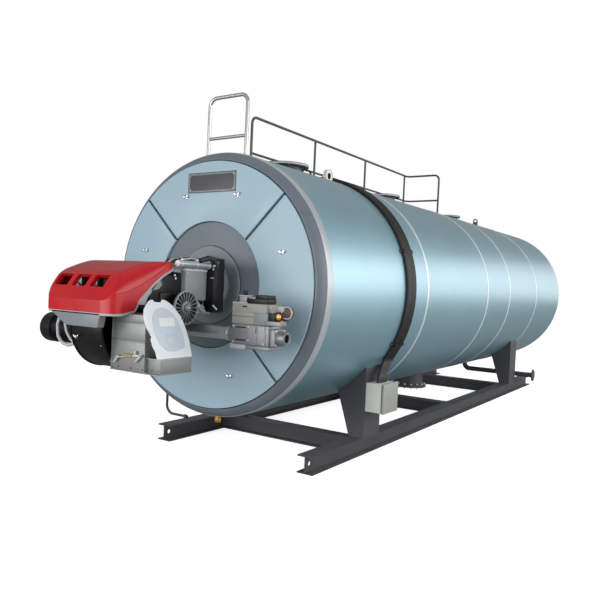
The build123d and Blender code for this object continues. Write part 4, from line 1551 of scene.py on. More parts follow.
@dataclass
class Hood:
    """Red moulded hood: a bulging shell over a crease, three windows and the grey edge strip."""

    left: float = -462.0
    right: float = 262.0
    front: float = -1254.0
    tail: float = -700.0
    bottom: float = -209.0
    wall: float = 7.0
    corner: float = 112.0
    window_width: float = 140.0
    window_height: float = 102.0
    window_pitch: float = 189.0
    window_middle: Point = (-151.0, -1163.0, 4.0)
    window_lean: float = 52.0
    window_round: float = 12.0
    crown: tuple[Flat, ...] = (
        (-1254, -126), (-1250, -121), (-1246, -118), (-1234, -100), (-1212, -63), (-1177, -14),
        (-1155, 14), (-1138, 36), (-1126, 47), (-1104, 62), (-1076, 78), (-1037, 93),
        (-998, 107), (-948, 124), (-898, 139), (-860, 148), (-820, 153), (-760, 156), (-700, 157),
    )
    crease: tuple[Flat, ...] = (
        (-1254, -126), (-1240, -112), (-1220, -92), (-1197, -79), (-1120, -62), (-1042, -34),
        (-961, 1), (-879, 43), (-795, 92), (-752, 128), (-700, 148),
    )
    foot: tuple[Flat, ...] = (
        (-1254, -209), (-1190, -209), (-1050, -186), (-1034, -166), (-1020, -134), (-1010, -116),
        (-958, -70), (-878, 0), (-793, 60), (-700, 106),
    )

    def build(self) -> None:
        """Builds the hood, its edge strip, what shows through its windows, and the tray."""
        self.shell()
        self.edge_strip()
        self.inside()
        self.tray()

    @staticmethod
    def level(line: tuple[Flat, ...], y: float) -> float:
        """Height of a broken line at y."""
        for (y0, z0), (y1, z1) in zip(line, line[1:]):
            if y0 <= y <= y1:
                return z0 + (z1 - z0) * (y - y0) / (y1 - y0)
        return line[-1][1]

    def section(self, y: float, inset: float = 0.0) -> list[Point]:
        """The hood's skin at y, from the right foot over the crown to the left foot.

        Args:
            y: Distance behind the door face.
            inset: How far inside the outer skin.

        Returns:
            The skin's points, always as many.
        """
        seen = y - inset
        crown = self.level(self.crown, seen) - inset
        crease = min(self.level(self.crease, seen) - inset / 2, crown - 0.5)
        foot = min(self.level(self.foot, y), crease - 1)
        bulge = crown - crease
        corner = self.corner - inset
        depth = min(y - self.front - inset, corner)
        tuck = corner - sqrt(corner**2 - (corner - depth) ** 2)
        ledge = min(6.0, bulge)
        half = [(0.0, 0.0, foot + (crease - foot) * step / 5) for step in range(6)]
        half.append((ledge, 0.0, crease + min(1.5, bulge / 3)))
        for step in range(1, 13):
            turn = radians(90 * step / 12)
            half.append((ledge, 1 - cos(turn), crease + max(bulge * sin(turn), 2)))
        inset_right, inset_left = min(0.8 * bulge, 112), min(0.3 * bulge, 20)
        right_edge, left_edge = self.right - inset - tuck, self.left + inset + tuck
        right = [(right_edge - step - share * inset_right, y, z) for step, share, z in half]
        left = [(left_edge + step + share * inset_left, y, z) for step, share, z in half]
        return right + left[::-1]

    def stations(self, inset: float = 0.0) -> list[float]:
        """Distances at which a skin is drawn, close together round the front corner.

        Args:
            inset: How far inside the outer skin.

        Returns:
            The distances, always as many.
        """
        corner = self.corner - inset
        start = self.front + inset
        close = [start + corner * (1 - cos(radians(a))) for a in range(0, 91, 6)]
        rest = [float(y) for y in range(int(self.front + self.corner) + 12, int(self.tail), 14)]
        extra = [-1050.0, -1034.0, -1020.0, -1010.0]
        return close + sorted(set(rest + extra)) + [self.tail]

    def shell(self) -> None:
        """The moulded skin with its wall and the windows cut through it."""
        part = bmesh.new()
        skins = [
            [[part.verts.new(p) for p in self.section(y, inset)] for y in self.stations(inset)]
            for inset in (0.0, self.wall)
        ]
        for rows in skins:
            for first, second in zip(rows, rows[1:]):
                join_rows(part, first, second)
            part.faces.new(rows[0])
        outer, inner = skins
        for end in (0, -1):
            join_rows(part, [row[end] for row in outer], [row[end] for row in inner])
        join_rows(part, outer[-1], inner[-1])
        part.faces.new((outer[0][0], outer[0][-1], inner[0][-1], inner[0][0]))
        bmesh.ops.remove_doubles(part, verts=part.verts, dist=0.05)
        bmesh.ops.recalc_face_normals(part, faces=part.faces)
        for lump in self.window_bodies(14, 32):
            merge(part, lump)
        skin = scratch_object(part, "hood_skin")
        cutter = bmesh.new()
        for prism in self.window_bodies(0, 260, 120):
            merge(cutter, prism)
        tool = scratch_object(cutter, "hood_windows")
        form = Form()
        form.take_cut(skin, tool, RED)
        form.object("moulded_hood", "hood_red", "burner_hood", crease=36)

    def window_bodies(
        self, margin: float, depth: float, above: float = -5.0
    ) -> list[bmesh.types.BMesh]:
        """Prisms on the slope over the three windows.

        Args:
            margin: How much wider than the window each prism is.
            depth: How far it reaches under the slope.
            above: How far it stands over the slope.

        Returns:
            One mesh for each window.
        """
        lean = radians(self.window_lean)
        bodies = []
        for index in (-1, 0, 1):
            middle = Vector(self.window_middle) + Vector((index * self.window_pitch, 0, 0))
            plane = plane_at(
                middle, Vector((1, 0, 0)), Vector((0, cos(lean), sin(lean))),
                Vector((0, -sin(lean), cos(lean))),
            )
            outline = rounded(
                (0, 0), (self.window_width + margin, self.window_height + margin),
                self.window_round + margin / 2,
            )
            body = bmesh.new()
            flat = [body.faces.new([body.verts.new((a, b, above)) for a, b in outline])]
            thicken(body, flat, (0, 0, -depth - above))
            bmesh.ops.transform(body, matrix=plane, verts=body.verts)
            bodies.append(body)
        return bodies

    def edge_strip(self) -> None:
        """Light grey strip under the hood's edge, along the front and up the right side."""
        form = Form()
        reach, bend = 4.0, self.corner - 4
        outer = arc((self.left + self.corner, self.front + self.corner), bend, 180, 270, 12)
        outer += arc((self.right - self.corner, self.front + self.corner), bend, 270, 360, 12)
        inner = arc((self.left + self.corner, self.front + self.corner), bend - 9, 180, 270, 12)
        inner += arc((self.right - self.corner, self.front + self.corner), bend - 9, 270, 360, 12)
        form.plate(outer + inner[::-1], UP, self.bottom - 16, self.bottom + 4, STRIP, 2)
        side_foot = [(y, z) for y, z in self.foot if y >= -1190]
        side_foot[0] = (self.front + self.corner - 2, side_foot[0][1])
        low = [(y + (0 if y < -1050 else 11), z - (14 if y < -1050 else 15)) for y, z in side_foot]
        for x in (self.right - reach - 9, self.left + reach):
            form.plate(
                [(y, z + 4) for y, z in side_foot] + low[::-1], RIGHT, x, x + 9, STRIP, 1.5
            )
        form.object("hood_edge_strip", "burner_grey")

    def inside(self) -> None:
        """What shows through the windows and behind the slanting edge."""
        form = Form()
        form.block((-395, -1010, -180), (225, -905, 60), BLACK, 6)
        for x, wide in ((-372, 90), (-190, 76), (-20, 84)):
            form.disc((x + wide / 2, -1075, -62), BACK, wide / 2, 66, GREY, 8, 28)
            form.block((x + 8, -1050, -40), (x + wide - 8, -1012, 44), SHEET, 5)
        form.object("hood_inner_parts", "burner_grey")
        form = Form()
        form.plate(
            [(-1010, -150), (-950, -96), (-878, -26), (-800, 30), (-770, 50), (-770, -10),
             (-800, -40), (-860, -52), (-905, -96), (-930, -150)],
            RIGHT, 226, 240, STRIP, 3,
        )
        form.block((100, -735, 88), (246, -585, 150), STRIP, 8)
        form.block((235, -668, 84), (250, -590, 142), GREY, 4)
        form.object("body_side_covers", "burner_grey")

    def tray(self) -> None:
        """Grey tray under the hood's front, narrower at its rounded bottom."""
        form, low, high = over("hood_tray")
        left_top, right_top = low.x, high.x
        left_low, right_low = low.x + 148, high.x - 23
        outline = [(left_top, high.z), (left_top + 6, high.z - 14)]
        outline += arc((left_low + 18, low.z + 18), 18, 215, 270, 5)
        outline += arc((right_low - 14, low.z + 14), 14, 270, 350, 5)
        outline += [(right_top, high.z)]
        form.plate(outline, BACK, low.y, high.y, PORT_PLATE, 6)
        form.object("tray_under_hood", "burner_grey", "hood_tray")


@dataclass
class Fan:
    """Black scroll with its motor, the sheet-metal intake box and the lobed cover."""

    scroll_y: float = -880.0
    scroll_z: float = -308.0
    scroll_radius: float = 308.0
    scroll_left: float = -220.0
    scroll_right: float = 106.0
    motor_y: float = -930.0
    motor_z: float = -372.0
    motor_bolts: float = 135.0

    def build(self) -> None:
        """Builds fan and intake from left to right."""
        self.motor()
        self.conduits()
        self.scroll()
        self.intake()
        self.cover()

    def motor(self) -> None:
        """Finned motor with its cowl and mounting flange."""
        form, low, _ = over("fan_motor")
        y, z = self.motor_y, self.motor_z
        end, seat = low.x, -330.0
        form.turned(
            [(0, end + 6), (60, end + 2), (100, end + 4), (112, end + 14), (114, end + 30),
             (114, end + 120), (110, end + 124), (98, end + 126), (98, seat - 40), (112, seat - 36),
             (112, seat), (150, seat), (150, seat + 26), (120, seat + 40), (120, self.scroll_left),
             (0, self.scroll_left)],
            (0, y, z), RIGHT, BLACK, 64,
        )
        for ahead in around(1.0, 40):
            fin = blade((y, z), ahead, ((96, -2), (111, -2), (111, 2), (96, 2)))
            form.plate(fin, RIGHT, end + 126, seat - 40, BLACK, 0)
        for ring in range(4):
            radius = 26 + 20 * ring
            form.disc((end + 1.0 + ring * 0.4, y, z), RIGHT, radius, 2, FIN, 0.6, 40, radius - 7)
        form.block((-640, y - 70, z + 88), (-500, y + 60, z + 132), BLACK, 8)
        for a, b in around(self.motor_bolts, 8, 22.5):
            form.hexagon((seat - 9, y + a, z + b), RIGHT, 16, 9, ZINC)
        form.object("fan_motor_body", "black_paint", "fan_motor")

    def conduits(self) -> None:
        """Two pale conduits that hang in loops between the motor and the fan."""
        form = Form()
        form.tube(
            [(-460, -1085, -250), (-472, -1105, -330), (-444, -1118, -414), (-388, -1122, -458),
             (-326, -1120, -470), (-266, -1108, -452), (-222, -1090, -420)],
            13, CONDUIT, bend=60, steps=16,
        )
        form.tube(
            [(-370, -1120, -240), (-358, -1130, -300), (-326, -1136, -372), (-276, -1136, -426),
             (-226, -1120, -446)],
            11, CONDUIT, bend=60, steps=16,
        )
        form.object("motor_conduits", "burner_grey")

    def scroll(self) -> None:
        """Fan scroll with its rolled rims, rim bolts and the wing nut of its flap."""
        form = Form()
        y, z, radius = self.scroll_y, self.scroll_z, self.scroll_radius
        top = -190.3
        body = [(y - radius, top), (y - radius, z)] + arc((y, z), radius, 180, 360, 60)[1:]
        body += [(y + radius, top)]
        form.plate(body, RIGHT, self.scroll_left, self.scroll_right, BLACK, 10)
        for x in (self.scroll_left, self.scroll_right - 8):
            rim = [(y - radius - 6, top), (y - radius - 6, z)]
            rim += arc((y, z), radius + 6, 180, 360, 60)[1:] + [(y + radius + 6, top)]
            form.plate(rim, RIGHT, x, x + 8, BLACK, 2)
        form.disc((-150, y - radius - 12, -392), BACK, 11, 14, TRIM, 2, 20)
        lobe = ((6, -5), (26, 4), (30, 16), (20, 17), (7, 7))
        for wing in (-1, 1):
            form.plate(
                [(-150 + wing * a, -392 + b) for a, b in lobe],
                BACK, y - radius - 14, y - radius - 9, TRIM, 1.5,
            )
        for turn in (205, 232, 260):
            (a, b), = around(radius + 1, 1, turn)
            form.disc((self.scroll_right - 34, y + a, z + b), UP, 7, 4, ZINC, 1, 14)
        form.object("fan_scroll_casing", "black_paint", "fan_scroll")

    def intake(self) -> None:
        """Folded intake box in galvanised sheet: panels, seams, handle and bottom flange."""
        form, low, high = over("intake_box")
        front, back, foot, top = low.y, high.y, low.z, high.z
        wall, ledge_top = 424.0, low.z + 100
        form.block((low.x, front + 6, foot), (wall, back, top), SHEET, 3)
        form.block((low.x, front, foot), (wall, front + 6, -386), SHEET, 1.5)
        form.block((low.x, front, -380), (wall, front + 6, -266), SHEET, 1.5)
        form.block((low.x, front, -258), (wall, front + 6, top), SHEET, 1.5)
        form.block((low.x, front - 4, foot), (low.x + 12, front + 2, top), SHEET, 1.5)
        form.block((low.x, front - 5, -392), (wall + 2, front, -383), SHEET, 1.5)
        form.block((low.x, front - 3, -264), (wall, front, -259), SHEET, 1)
        form.block((wall, front + 26, foot), (high.x, back, ledge_top), SHEET, 3)
        # A pale strip along the ledge's top: a painted highlight on that edge.
        form.block((wall - 6, front + 20, ledge_top - 6), (high.x + 5, back, ledge_top), HANDLE, 2)
        form.block((low.x, front - 10, foot - 4), (high.x + 5, back, foot + 5), SHEET, 2)
        for x in (180, 300, 410, 470, 530):
            place = (x, front - 3 if x < wall else front + 24, foot + 22)
            form.disc(place, BACK, 5, 5, BLACK, 1, 14)
        for z in (-230, -330, -430, -540):
            form.disc((low.x + 22, front - 2, z), BACK, 5, 3, ZINC, 1, 14)
        for outline in (
            [(150, -538), (164, -538), (201, -494), (187, -488)],
            [(347, -523), (362, -523), (420, -470), (402, -466)],
            [(187, -498), (201, -504), (414, -478), (411, -464)],
            [(346, -476), (360, -474), (360, -446), (346, -446)],
        ):
            form.plate(outline, BACK, front - 22, front - 2, HANDLE, 1.5)
        form.block((242, front - 30, -492), (330, front - 16, -472), GRIP, 5)
        form.object("intake_sheet_box", "intake_steel", "intake_box")

    def cover(self) -> None:
        """White moulded cover on the slope, with its rim, a raised field and a bare label."""
        ledge_top = box_mm("intake_box")[0].z + 100
        run, drop = 545.0 - 424.0, -110.0 - ledge_top
        length = hypot(run, drop)
        down = Vector((run / length, 0, -drop / length))
        normal = Vector((drop / length, 0, run / length))
        plane = plane_at(Vector((424.3, 0, -110)), Vector((0, 1, 0)), down, normal)
        outline = [
            (-1108, length), (-1112, 340), (-1128, 308), (-1132, 268), (-1132, 255), (-1120, 246),
            (-1132, 222), (-1148, 186), (-1157, 150), (-1158, 121), (-1154, 92), (-1144, 62),
            (-1128, 42), (-1110, 24), (-1092, 8), (-1072, -2), (-1054, -4), (-1048, 2),
            (-1043, 11), (-1010, 14), (-978, 14), (-972, 6), (-966, -3), (-948, -3), (-924, 6),
            (-898, 22), (-873, 41), (-842, 78), (-816, 118), (-798, 164), (-788, 214), (-780, 262),
            (-776, 290), (-782, 312), (-778, length),
        ]
        form = Form()
        # The outline plate's margin round the raised field takes the whiter rim finish: a painted
        # highlight on the cover's edge.
        form.tilted(outline, plane, 12, WHITE_RIM_HIGHLIGHT, 5)
        inner = [
            (-1062, 300), (-1086, 250), (-1098, 190), (-1094, 130), (-1070, 84), (-1030, 58),
            (-980, 52), (-930, 66), (-886, 102), (-854, 156), (-836, 220), (-830, 280), (-836, 330),
            (-930, 352), (-1010, 346),
        ]
        raised = plane @ Matrix.Translation((0, 0, 11))
        form.tilted(inner, raised, 5, WHITE, 4)
        heart = [
            (-1010, 262), (-990, 236), (-962, 236), (-944, 252), (-926, 236), (-898, 238),
            (-884, 262), (-900, 294), (-944, 322), (-990, 296),
        ]
        form.tilted(heart, plane @ Matrix.Translation((0, 0, 15)), 4, WHITE, 3)
        label = rounded((-965, 152), (144, 58), 4)
        form.tilted(label, plane @ Matrix.Translation((0, 0, 16)), 0.8, LABEL, 0)
        form.object("moulded_intake_cover", "white_plastic", "intake_cover")


@dataclass
class Head:
    """Burner head between hood and door: neck, casing, control boxes, air tube and cam wheel."""

    neck: float = 215.0

    def build(self) -> None:
        """Builds the head's pieces."""
        self.casing()
        self.boxes()
        self.plumbing()
        self.wheel()
        self.linkage()

    def casing(self) -> None:
        """Round neck into the port, and the black casing in front of it."""
        form, low, high = over("burner_neck")
        # The neck is given the plate's paler grey instead of the burner grey, so that it does not
        # read dark in its shade: painted light.
        form.ring(
            [(self.neck - 12, low.y), (self.neck - 1, low.y), (self.neck, low.y + 1),
             (self.neck, high.y), (self.neck - 12, high.y)],
            PORT_PLATE, 96,
        )
        form.ring(
            [(self.neck, -70), (self.neck + 22, -70), (self.neck + 24, -68), (self.neck + 24, -52),
             (self.neck, -52)],
            GREY, 96,
        )
        form.object("burner_neck_tube", "burner_grey", "burner_neck")
        form, low, high = over("burner_body")
        form.block((low.x, low.y, low.z), (high.x, -566, high.z), BLACK, 26)
        form.block((low.x, -640, low.z), (32, high.y, high.z), BLACK, 20)
        form.block((20, -640, low.z), (high.x, high.y, -122), BLACK, 14)
        for y, z in ((-860, -150), (-640, -150), (-640, 40), (-860, 40)):
            form.disc((high.x - 1, y, z), RIGHT, 10, 6, ZINC, 2, 20)
        form.block((high.x - 2, -800, -176), (high.x + 14, -640, -60), BLACK, 8)
        form.disc((high.x, -655, 62), RIGHT, 9, 10, TRIM, 2, 18)
        form.object("burner_casing", "black_paint", "burner_body")

    def boxes(self) -> None:
        """Grey control box and the black housing behind it, with lids, screws and a latch."""
        form, low, high = over("control_box")
        form.block((low.x, low.y, low.z), (high.x - 8, high.y, high.z), BOX_GREY, 5)
        form.block(low + Vector((4, -2, 4)), high - Vector((0, 3, 12)), BOX_GREY, 7)
        # The band along the box's top is a lid, given the pale border finish as a painted highlight
        # along that top.
        form.block((low.x - 2, low.y - 4, high.z - 17), (high.x + 4, high.y, high.z + 3), BORDER, 3)
        for y, z in ((low.y + 16, high.z - 30), (high.y - 20, low.z + 22)):
            form.disc((high.x - 1, y, z), RIGHT, 6, 4, ZINC, 1, 14)
        form.object("control_box_case", "burner_grey", "control_box")
        form, low, high = over("black_housing")
        form.block(low, high, BLACK, 7)
        lid = (high.x - 3, low.y + 6, low.z + 10)
        form.block(lid, high + Vector((6, -6, -40)), BLACK, 4)
        face = (low.x + 8, low.y - 5, low.z + 10)
        form.block(face, (high.x - 6, low.y + 3, high.z - 36), BLACK, 3)
        form.block((high.x - 44, low.y - 8, 50), (high.x - 10, low.y - 3, 60), TRIM, 2)
        form.tube(
            [(high.x - 6, low.y - 10, -150), (high.x + 12, low.y + 20, -182)], 6, TRIM, steps=12
        )
        form.disc((high.x - 14, low.y - 12, 122), BACK, 9, 14, TRIM, 2, 18)
        latch = (low.x + 4, low.y - 3, high.z - 34)
        form.block(latch, (high.x + 3, low.y + 40, high.z - 26), ZINC, 2)
        form.object("black_switch_housing", "black_paint", "black_housing")

    def plumbing(self) -> None:
        """Bright air tube with its clamps, and the plugs and cables laid over it."""
        form, low, high = over("air_tube")
        x, z = (low.x + high.x) / 2, (low.z + high.z) / 2
        radius = (high.x - low.x) / 2
        form.turned(
            [(0, low.y), (radius - 2, low.y), (radius, low.y + 2), (radius, high.y), (0, high.y)],
            (x, 0, z), BACK, ZINC, 48,
        )
        for y in (low.y + 26, low.y + 190, high.y - 30):
            form.disc((x, y, z), BACK, radius + 4, 16, ZINC, 2, 48)
            form.block((x + 4, y + 1, z + radius), (x + 22, y + 15, z + radius + 12), ZINC, 2)
        form.object("bright_air_tube", "zinc", "air_tube")
        form = Form()
        top = box_mm("control_box")[1].z
        form.block((60, -640, top - 36), (150, -560, top + 44), BLACK, 6)
        form.block((166, -560, top + 2), (236, -470, top + 46), BLACK, 6)
        form.block((120, -540, top + 2), (158, -440, top + 60), CONDUIT, 5)
        form.block((70, -470, top + 2), (146, -400, top + 74), BLACK, 6)
        form.block((168, -440, top + 2), (230, -372, top + 72), BLACK, 6)
        for index in range(5):
            x0 = 76 + 34 * index
            form.tube(
                [(x0, -600, top + 30), (x0 + 10, -560, top + 66 + 4 * (index % 2)),
                 (x0 + 26, -470, top + 84 - 5 * (index % 3)), (x0 + 50, -380, top + 62),
                 (x0 + 54, -318, top + 40)],
                7, (CABLE, CONDUIT, CABLE, CABLE, CONDUIT)[index], bend=26, steps=12,
            )
        form.tube(
            [(318, -470, top + 62), (338, -400, top + 86), (352, -344, top + 74),
             (356, -318, top + 20)],
            19, CABLE, bend=34, steps=18,
        )
        form.disc((352, -352, top + 30), BACK, 12, 14, TRIM, 2, 20)
        form.object("plugs_and_cables", "cable_black")

    def wheel(self) -> None:
        """Cast cam wheel: rim, thin spokes, hub and its adjusting screws."""
        form, low, high = over("cam_wheel")
        y, z = (low.y + high.y) / 2, (low.z + high.z) / 2
        radius = (high.y - low.y) / 2
        face = high.x - 22
        form.disc((face - 20, y, z), RIGHT, radius, 18, CAST, 3, 72, radius - 15)
        form.disc((face - 20, y, z), RIGHT, radius - 12, 5, BLACK, 0, 64)
        form.disc((face - 18, y, z), RIGHT, 48, 18, CAST, 3, 48)
        form.disc((face - 4, y, z), RIGHT, 30, 26, CAST, 5, 36)
        form.disc((face + 18, y, z), RIGHT, 10, 8, ZINC, 2, 20)
        form.disc((low.x, y, z), RIGHT, 30, face - low.x - 14, CAST, 2, 32)
        rim = radius - 7
        for a, b in around(1.0, 20):
            bar = ((44, -2.7), (radius - 10, -4.5), (radius - 10, 4.5), (44, 2.7))
            form.plate(blade((y, z), (a, b), bar), RIGHT, face - 18, face - 3, CAST, 1.2)
            form.disc((face - 2, y + rim * a, z + rim * b), RIGHT, 4, 5, ZINC, 1, 10)
        form.object("slotted_cam_wheel", "cast_aluminium", "cam_wheel")

    def linkage(self) -> None:
        """Cast levers and the dark bracket beside the cam wheel."""
        form = Form()
        form.plate(
            [(-500, -138), (-470, -122), (-442, -128), (-430, -150), (-404, -146), (-384, -160),
             (-372, -196), (-350, -206), (-352, -220), (-400, -216), (-430, -206), (-462, -222),
             (-486, -206), (-492, -170)],
            RIGHT, 286, 304, CAST_BRIGHT, 3,
        )
        form.disc((300, -462, -160), RIGHT, 22, 22, CAST_BRIGHT, 4, 28)
        form.disc((300, -398, -196), RIGHT, 12, 20, ZINC, 2, 20)
        form.tube(
            [(312, -462, -160), (318, -430, -190), (312, -372, -208), (312, -330, -212)],
            6, ZINC, bend=12, steps=12,
        )
        form.block((240, -500, -196), (288, -420, -150), CAST_BRIGHT, 5)
        form.plate(
            [(-606, -240), (-490, -236), (-484, -262), (-500, -290), (-584, -288), (-610, -268)],
            RIGHT, 262, 304, BRACKET, 4,
        )
        form.disc((303, -560, -262), RIGHT, 9, 8, ZINC, 2, 18)
        form.disc((303, -520, -262), RIGHT, 9, 8, ZINC, 2, 18)
        form.block((228, -590, -262), (266, -500, -178), BLACK, 4)
        form.object("cam_linkage", "cast_aluminium")


@dataclass
class GasTrain:
    """Galvanised pipe, valve block with its coil box, switches and the open gas port."""

    y: float = -385.0
    z: float = -341.0
    half: float = 75.0
    pipe_radius: float = 48.0
    screw_reach: Flat = (48.0, 47.0)

    def build(self) -> None:
        """Builds the train from the burner outwards."""
        self.pipe()
        self.valve()
        self.electrics()
        self.switch()

    def pipe(self) -> None:
        """Pipe from the casing with its elbow, union and the valve's inlet hub."""
        form = Form()
        form.tube(
            [(-40, self.y, -180), (-40, self.y, self.z), (600, self.y, self.z)],
            self.pipe_radius, ZINC, bend=70, steps=40,
        )
        form.disc((40, self.y, self.z), RIGHT, 54, 34, ZINC, 5, 40)
        form.disc((542, self.y, self.z), RIGHT, 52, 34, ZINC, 4, 40)
        form.disc((574, self.y, self.z), RIGHT, 56, 60, CAST, 5, 8)
        form.object("galvanised_gas_pipe", "zinc", "gas_pipe")

    def valve(self) -> None:
        """Die-cast valve block: ribs, seams, foot plates, end flange and threaded port."""
        front, back = self.y - self.half, self.y + self.half
        form = Form()
        form.block((632, front, -406), (957, back, -258), CAST, 9)
        form.block((624, front - 7, -436), (765, back + 7, -404), STRIP, 4)
        form.block((765, front - 5, -432), (965, back + 5, -404), CAST, 5)
        for x in (772, 858, 930):
            form.block((x - 4, front - 5, -400), (x + 4, back + 5, -264), CAST, 3)
        # The slots on the valve's face are dark blocks: painted shade in them.
        for z in (-283, -372):
            form.block((672, front - 2, z - 5), (760, front + 2, z + 5), SLOT_DARK, 2)
        form.block((845, front - 2, -318), (853, front + 2, -276), SLOT_DARK, 2)
        for x, z in ((783, -277), (783, -371), (914, -277), (914, -388), (648, -277), (648, -388)):
            form.disc((x, front - 5, z), BACK, 8, 6, ZINC, 2, 18)
        form.block((957, self.y - 64, self.z - 62), (1000, self.y + 64, self.z + 62), CAST, 8)
        for side, up in CORNERS:
            y, z = self.y + side * self.screw_reach[0], self.z + up * self.screw_reach[1]
            form.disc((999, y, z), RIGHT, 9, 8, ZINC, 2, 18)
            form.disc((948, y, z), RIGHT, 10, 10, ZINC, 2, 6)
        form.turned(
            [(30, 960), (30, 1060), (33, 1062), (43, 1062), (46, 1059), (46, 1040), (47, 1038),
             (47, 1014), (52, 1008), (52, 998), (30, 998)],
            (0, self.y, self.z), RIGHT, CAST, 56,
        )
        # Dark lining, thread rings and floor inside the threaded port: painted shade for its depth.
        form.turned(
            [(29.5, 1030), (29.5, 1050), (36.5, 1062.6), (38, 1062.4), (31, 1048), (31, 1030)],
            (0, self.y, self.z), RIGHT, SLOT_DARK, 56, closed=True,
        )
        for turn in range(6):
            form.disc((990 + 10 * turn, self.y, self.z), RIGHT, 31, 4, SLOT_DARK, 0.8, 40, 29)
        form.disc((962, self.y, self.z), RIGHT, 31, 3, SLOT_DARK, 0, 32)
        form.object("gas_valve_block", "cast_aluminium", "gas_valve")

    def electrics(self) -> None:
        """Coil box, the second grey box, the black plug on top and the small grey plug."""
        front, back = self.y - self.half + 8, self.y + self.half - 8
        form = Form()
        form.block((626, front, -258), (822, back, -178), BEIGE_DARK, 3)
        form.block((626, front, -180), (930, back, -112), BEIGE_DARK, 4)
        form.block((626, front - 1, -114), (752, back, -106), STRIP, 2)
        form.block((716, front - 2, -140), (758, front, -130), BLACK, 1)
        form.block((626, front - 1, -206), (822, front, -203), SLOT_DARK, 0)
        form.block((822, front - 3, -258), (944, back - 10, -172), PORT_PLATE, 4)
        form.block((930, front + 6, -246), (952, back - 20, -176), STRIP, 3)
        form.object("coil_boxes", "box_beige", "valve_coil_box")
        form = Form()
        form.block((746, front + 14, -112), (922, back - 10, -76), BLACK, 3)
        form.block((812, front + 22, -78), (920, back - 16, -50), BLACK, 4)
        form.block((762, front + 20, -78), (808, front + 60, -70), CONDUIT, 2)
        form.object("valve_connector", "black_paint")
        form = Form()
        form.block((672, front + 20, -110), (736, front + 84, -62), GREY, 6)
        form.block((668, front + 16, -66), (740, front + 88, -56), STRIP, 3)
        form.disc((701, front + 52, -56), UP, 17, 34, BLACK, 4, 28)
        form.object("small_coil_plug", "burner_grey")

    def switch(self) -> None:
        """Gas pressure switch over the port, with its brass cap, clip and red-brown seal."""
        form = Form()
        y = self.y - 45
        form.block((948, y - 34, -222), (1010, y + 36, -168), BLACK, 4)
        form.block((1006, y - 26, -216), (1078, y + 34, -160), BLACK, 5)
        form.disc((1033, y - 34, -191), BACK, 23, 12, BRASS, 4, 32)
        form.disc((1033, y - 40, -191), BACK, 15, 8, BRASS, 3, 28)
        form.block((1004, y - 24, -158), (1074, y + 34, -114), SHEET, 5)
        form.disc((1094, y - 22, -160), BACK, 38, 40, SEAL, 6, 40)
        form.disc((1094, y - 26, -160), BACK, 44, 12, STRIP, 3, 40, 36)
        form.disc((1094, y - 25, -160), BACK, 20, 6, BRACKET, 2, 32)
        form.block((921, y - 30, -258), (1056, y + 40, -222), CAST, 6)
        form.disc((1062, y - 34, -226), BACK, 13, 12, GRIP, 3, 24)
        spring = [(960, y, -168), (956, y - 6, -138), (944, y - 10, -118)]
        form.tube(spring, 5, ZINC, bend=14, steps=10)
        form.object("gas_pressure_switch", "black_paint", "pressure_switch")


@dataclass
class Underside:
    """What hangs under the shell: manhole nozzle, blowdown pipe, drain plug and left drain."""

    manhole_studs: float = 217.0
    blowdown_radius: float = 38.0
    flange_holes: float = 72.5
    drain_radius: float = 12.0

    def build(self) -> None:
        """Builds the pieces under the shell."""
        form, low, high = over("bottom_nozzle")
        y = (low.y + high.y) / 2
        form.turned(
            [(0, low.z), (150, low.z), (156, low.z - 3), (236, low.z - 3), (240, low.z),
             (240, low.z + 30), (236, low.z + 34), (199, low.z + 34), (195, low.z + 40),
             (195, -1082), (0, -1082)],
            (0, y, 0), UP, FRAME, 72,
        )
        for x, back in around(self.manhole_studs, 16, 11.25):
            form.disc((x, y + back, low.z - 14), UP, 8, 62, ZINC, 1, 12)
            form.hexagon((x, y + back, low.z + 34), UP, 24, 14, ZINC)
        form.object("bottom_manhole", "frame_grey", "bottom_nozzle")
        self.blowdown()
        self.drains()

    def blowdown(self) -> None:
        """Blowdown pipe, bent out under the runner to its flange."""
        form, low, high = over("blowdown_pipe")
        middle = (low.y + high.y) / 2
        z = low.z + 92.5
        form.tube(
            [(0, middle, -1084), (0, middle, z), (high.x - 24, middle, z)],
            self.blowdown_radius, FRAME, bend=80, steps=32,
        )
        form.turned(
            [(0, high.x - 22), (46, high.x - 28), (50, high.x - 20), (92, high.x - 20),
             (92.5, high.x - 18), (92.5, high.x - 5), (90, high.x - 3), (62, high.x - 3),
             (61, high.x), (0, high.x)],
            (0, middle, z), RIGHT, FRAME, 64,
        )
        # The flange's holes are dark discs flush with its face: painted shade for the holes.
        for a, b in around(self.flange_holes, 4, 45):
            form.disc((high.x - 22, middle + a, z + b), RIGHT, 9.2, 20, SLOT_DARK, 0.5, 20)
        form.object("blowdown_outlet", "frame_grey", "blowdown_pipe")

    def drains(self) -> None:
        """Brass drain plug at the front and the thin drain pipe at the left."""
        form, low, high = over("drain_plug")
        y = (low.y + high.y) / 2
        form.disc((0, y, high.z - 52), UP, 26, 42, BRASS, 3, 36)
        form.disc((0, y, low.z + 32), UP, 33, 6, BRASS, 2, 36)
        form.hexagon((0, y, low.z), UP, 52, 36, BRASS)
        form.object("brass_drain_plug", "brass", "drain_plug")
        form, low, high = over("left_drain_pipe")
        y = (low.y + high.y) / 2
        left, z = low.x + self.drain_radius, low.z + self.drain_radius
        route = [(left, y, -778), (left, y, z), (high.x, y, z)]
        form.tube(route, self.drain_radius, FRAME, bend=78, steps=24)
        form.hexagon((high.x - 34, y, z), RIGHT, 32, 24, FRAME)
        form.disc((high.x - 10, y, z), RIGHT, 15, 10, FRAME, 2, 28)
        form.object("left_drain", "frame_grey", "left_drain_pipe")


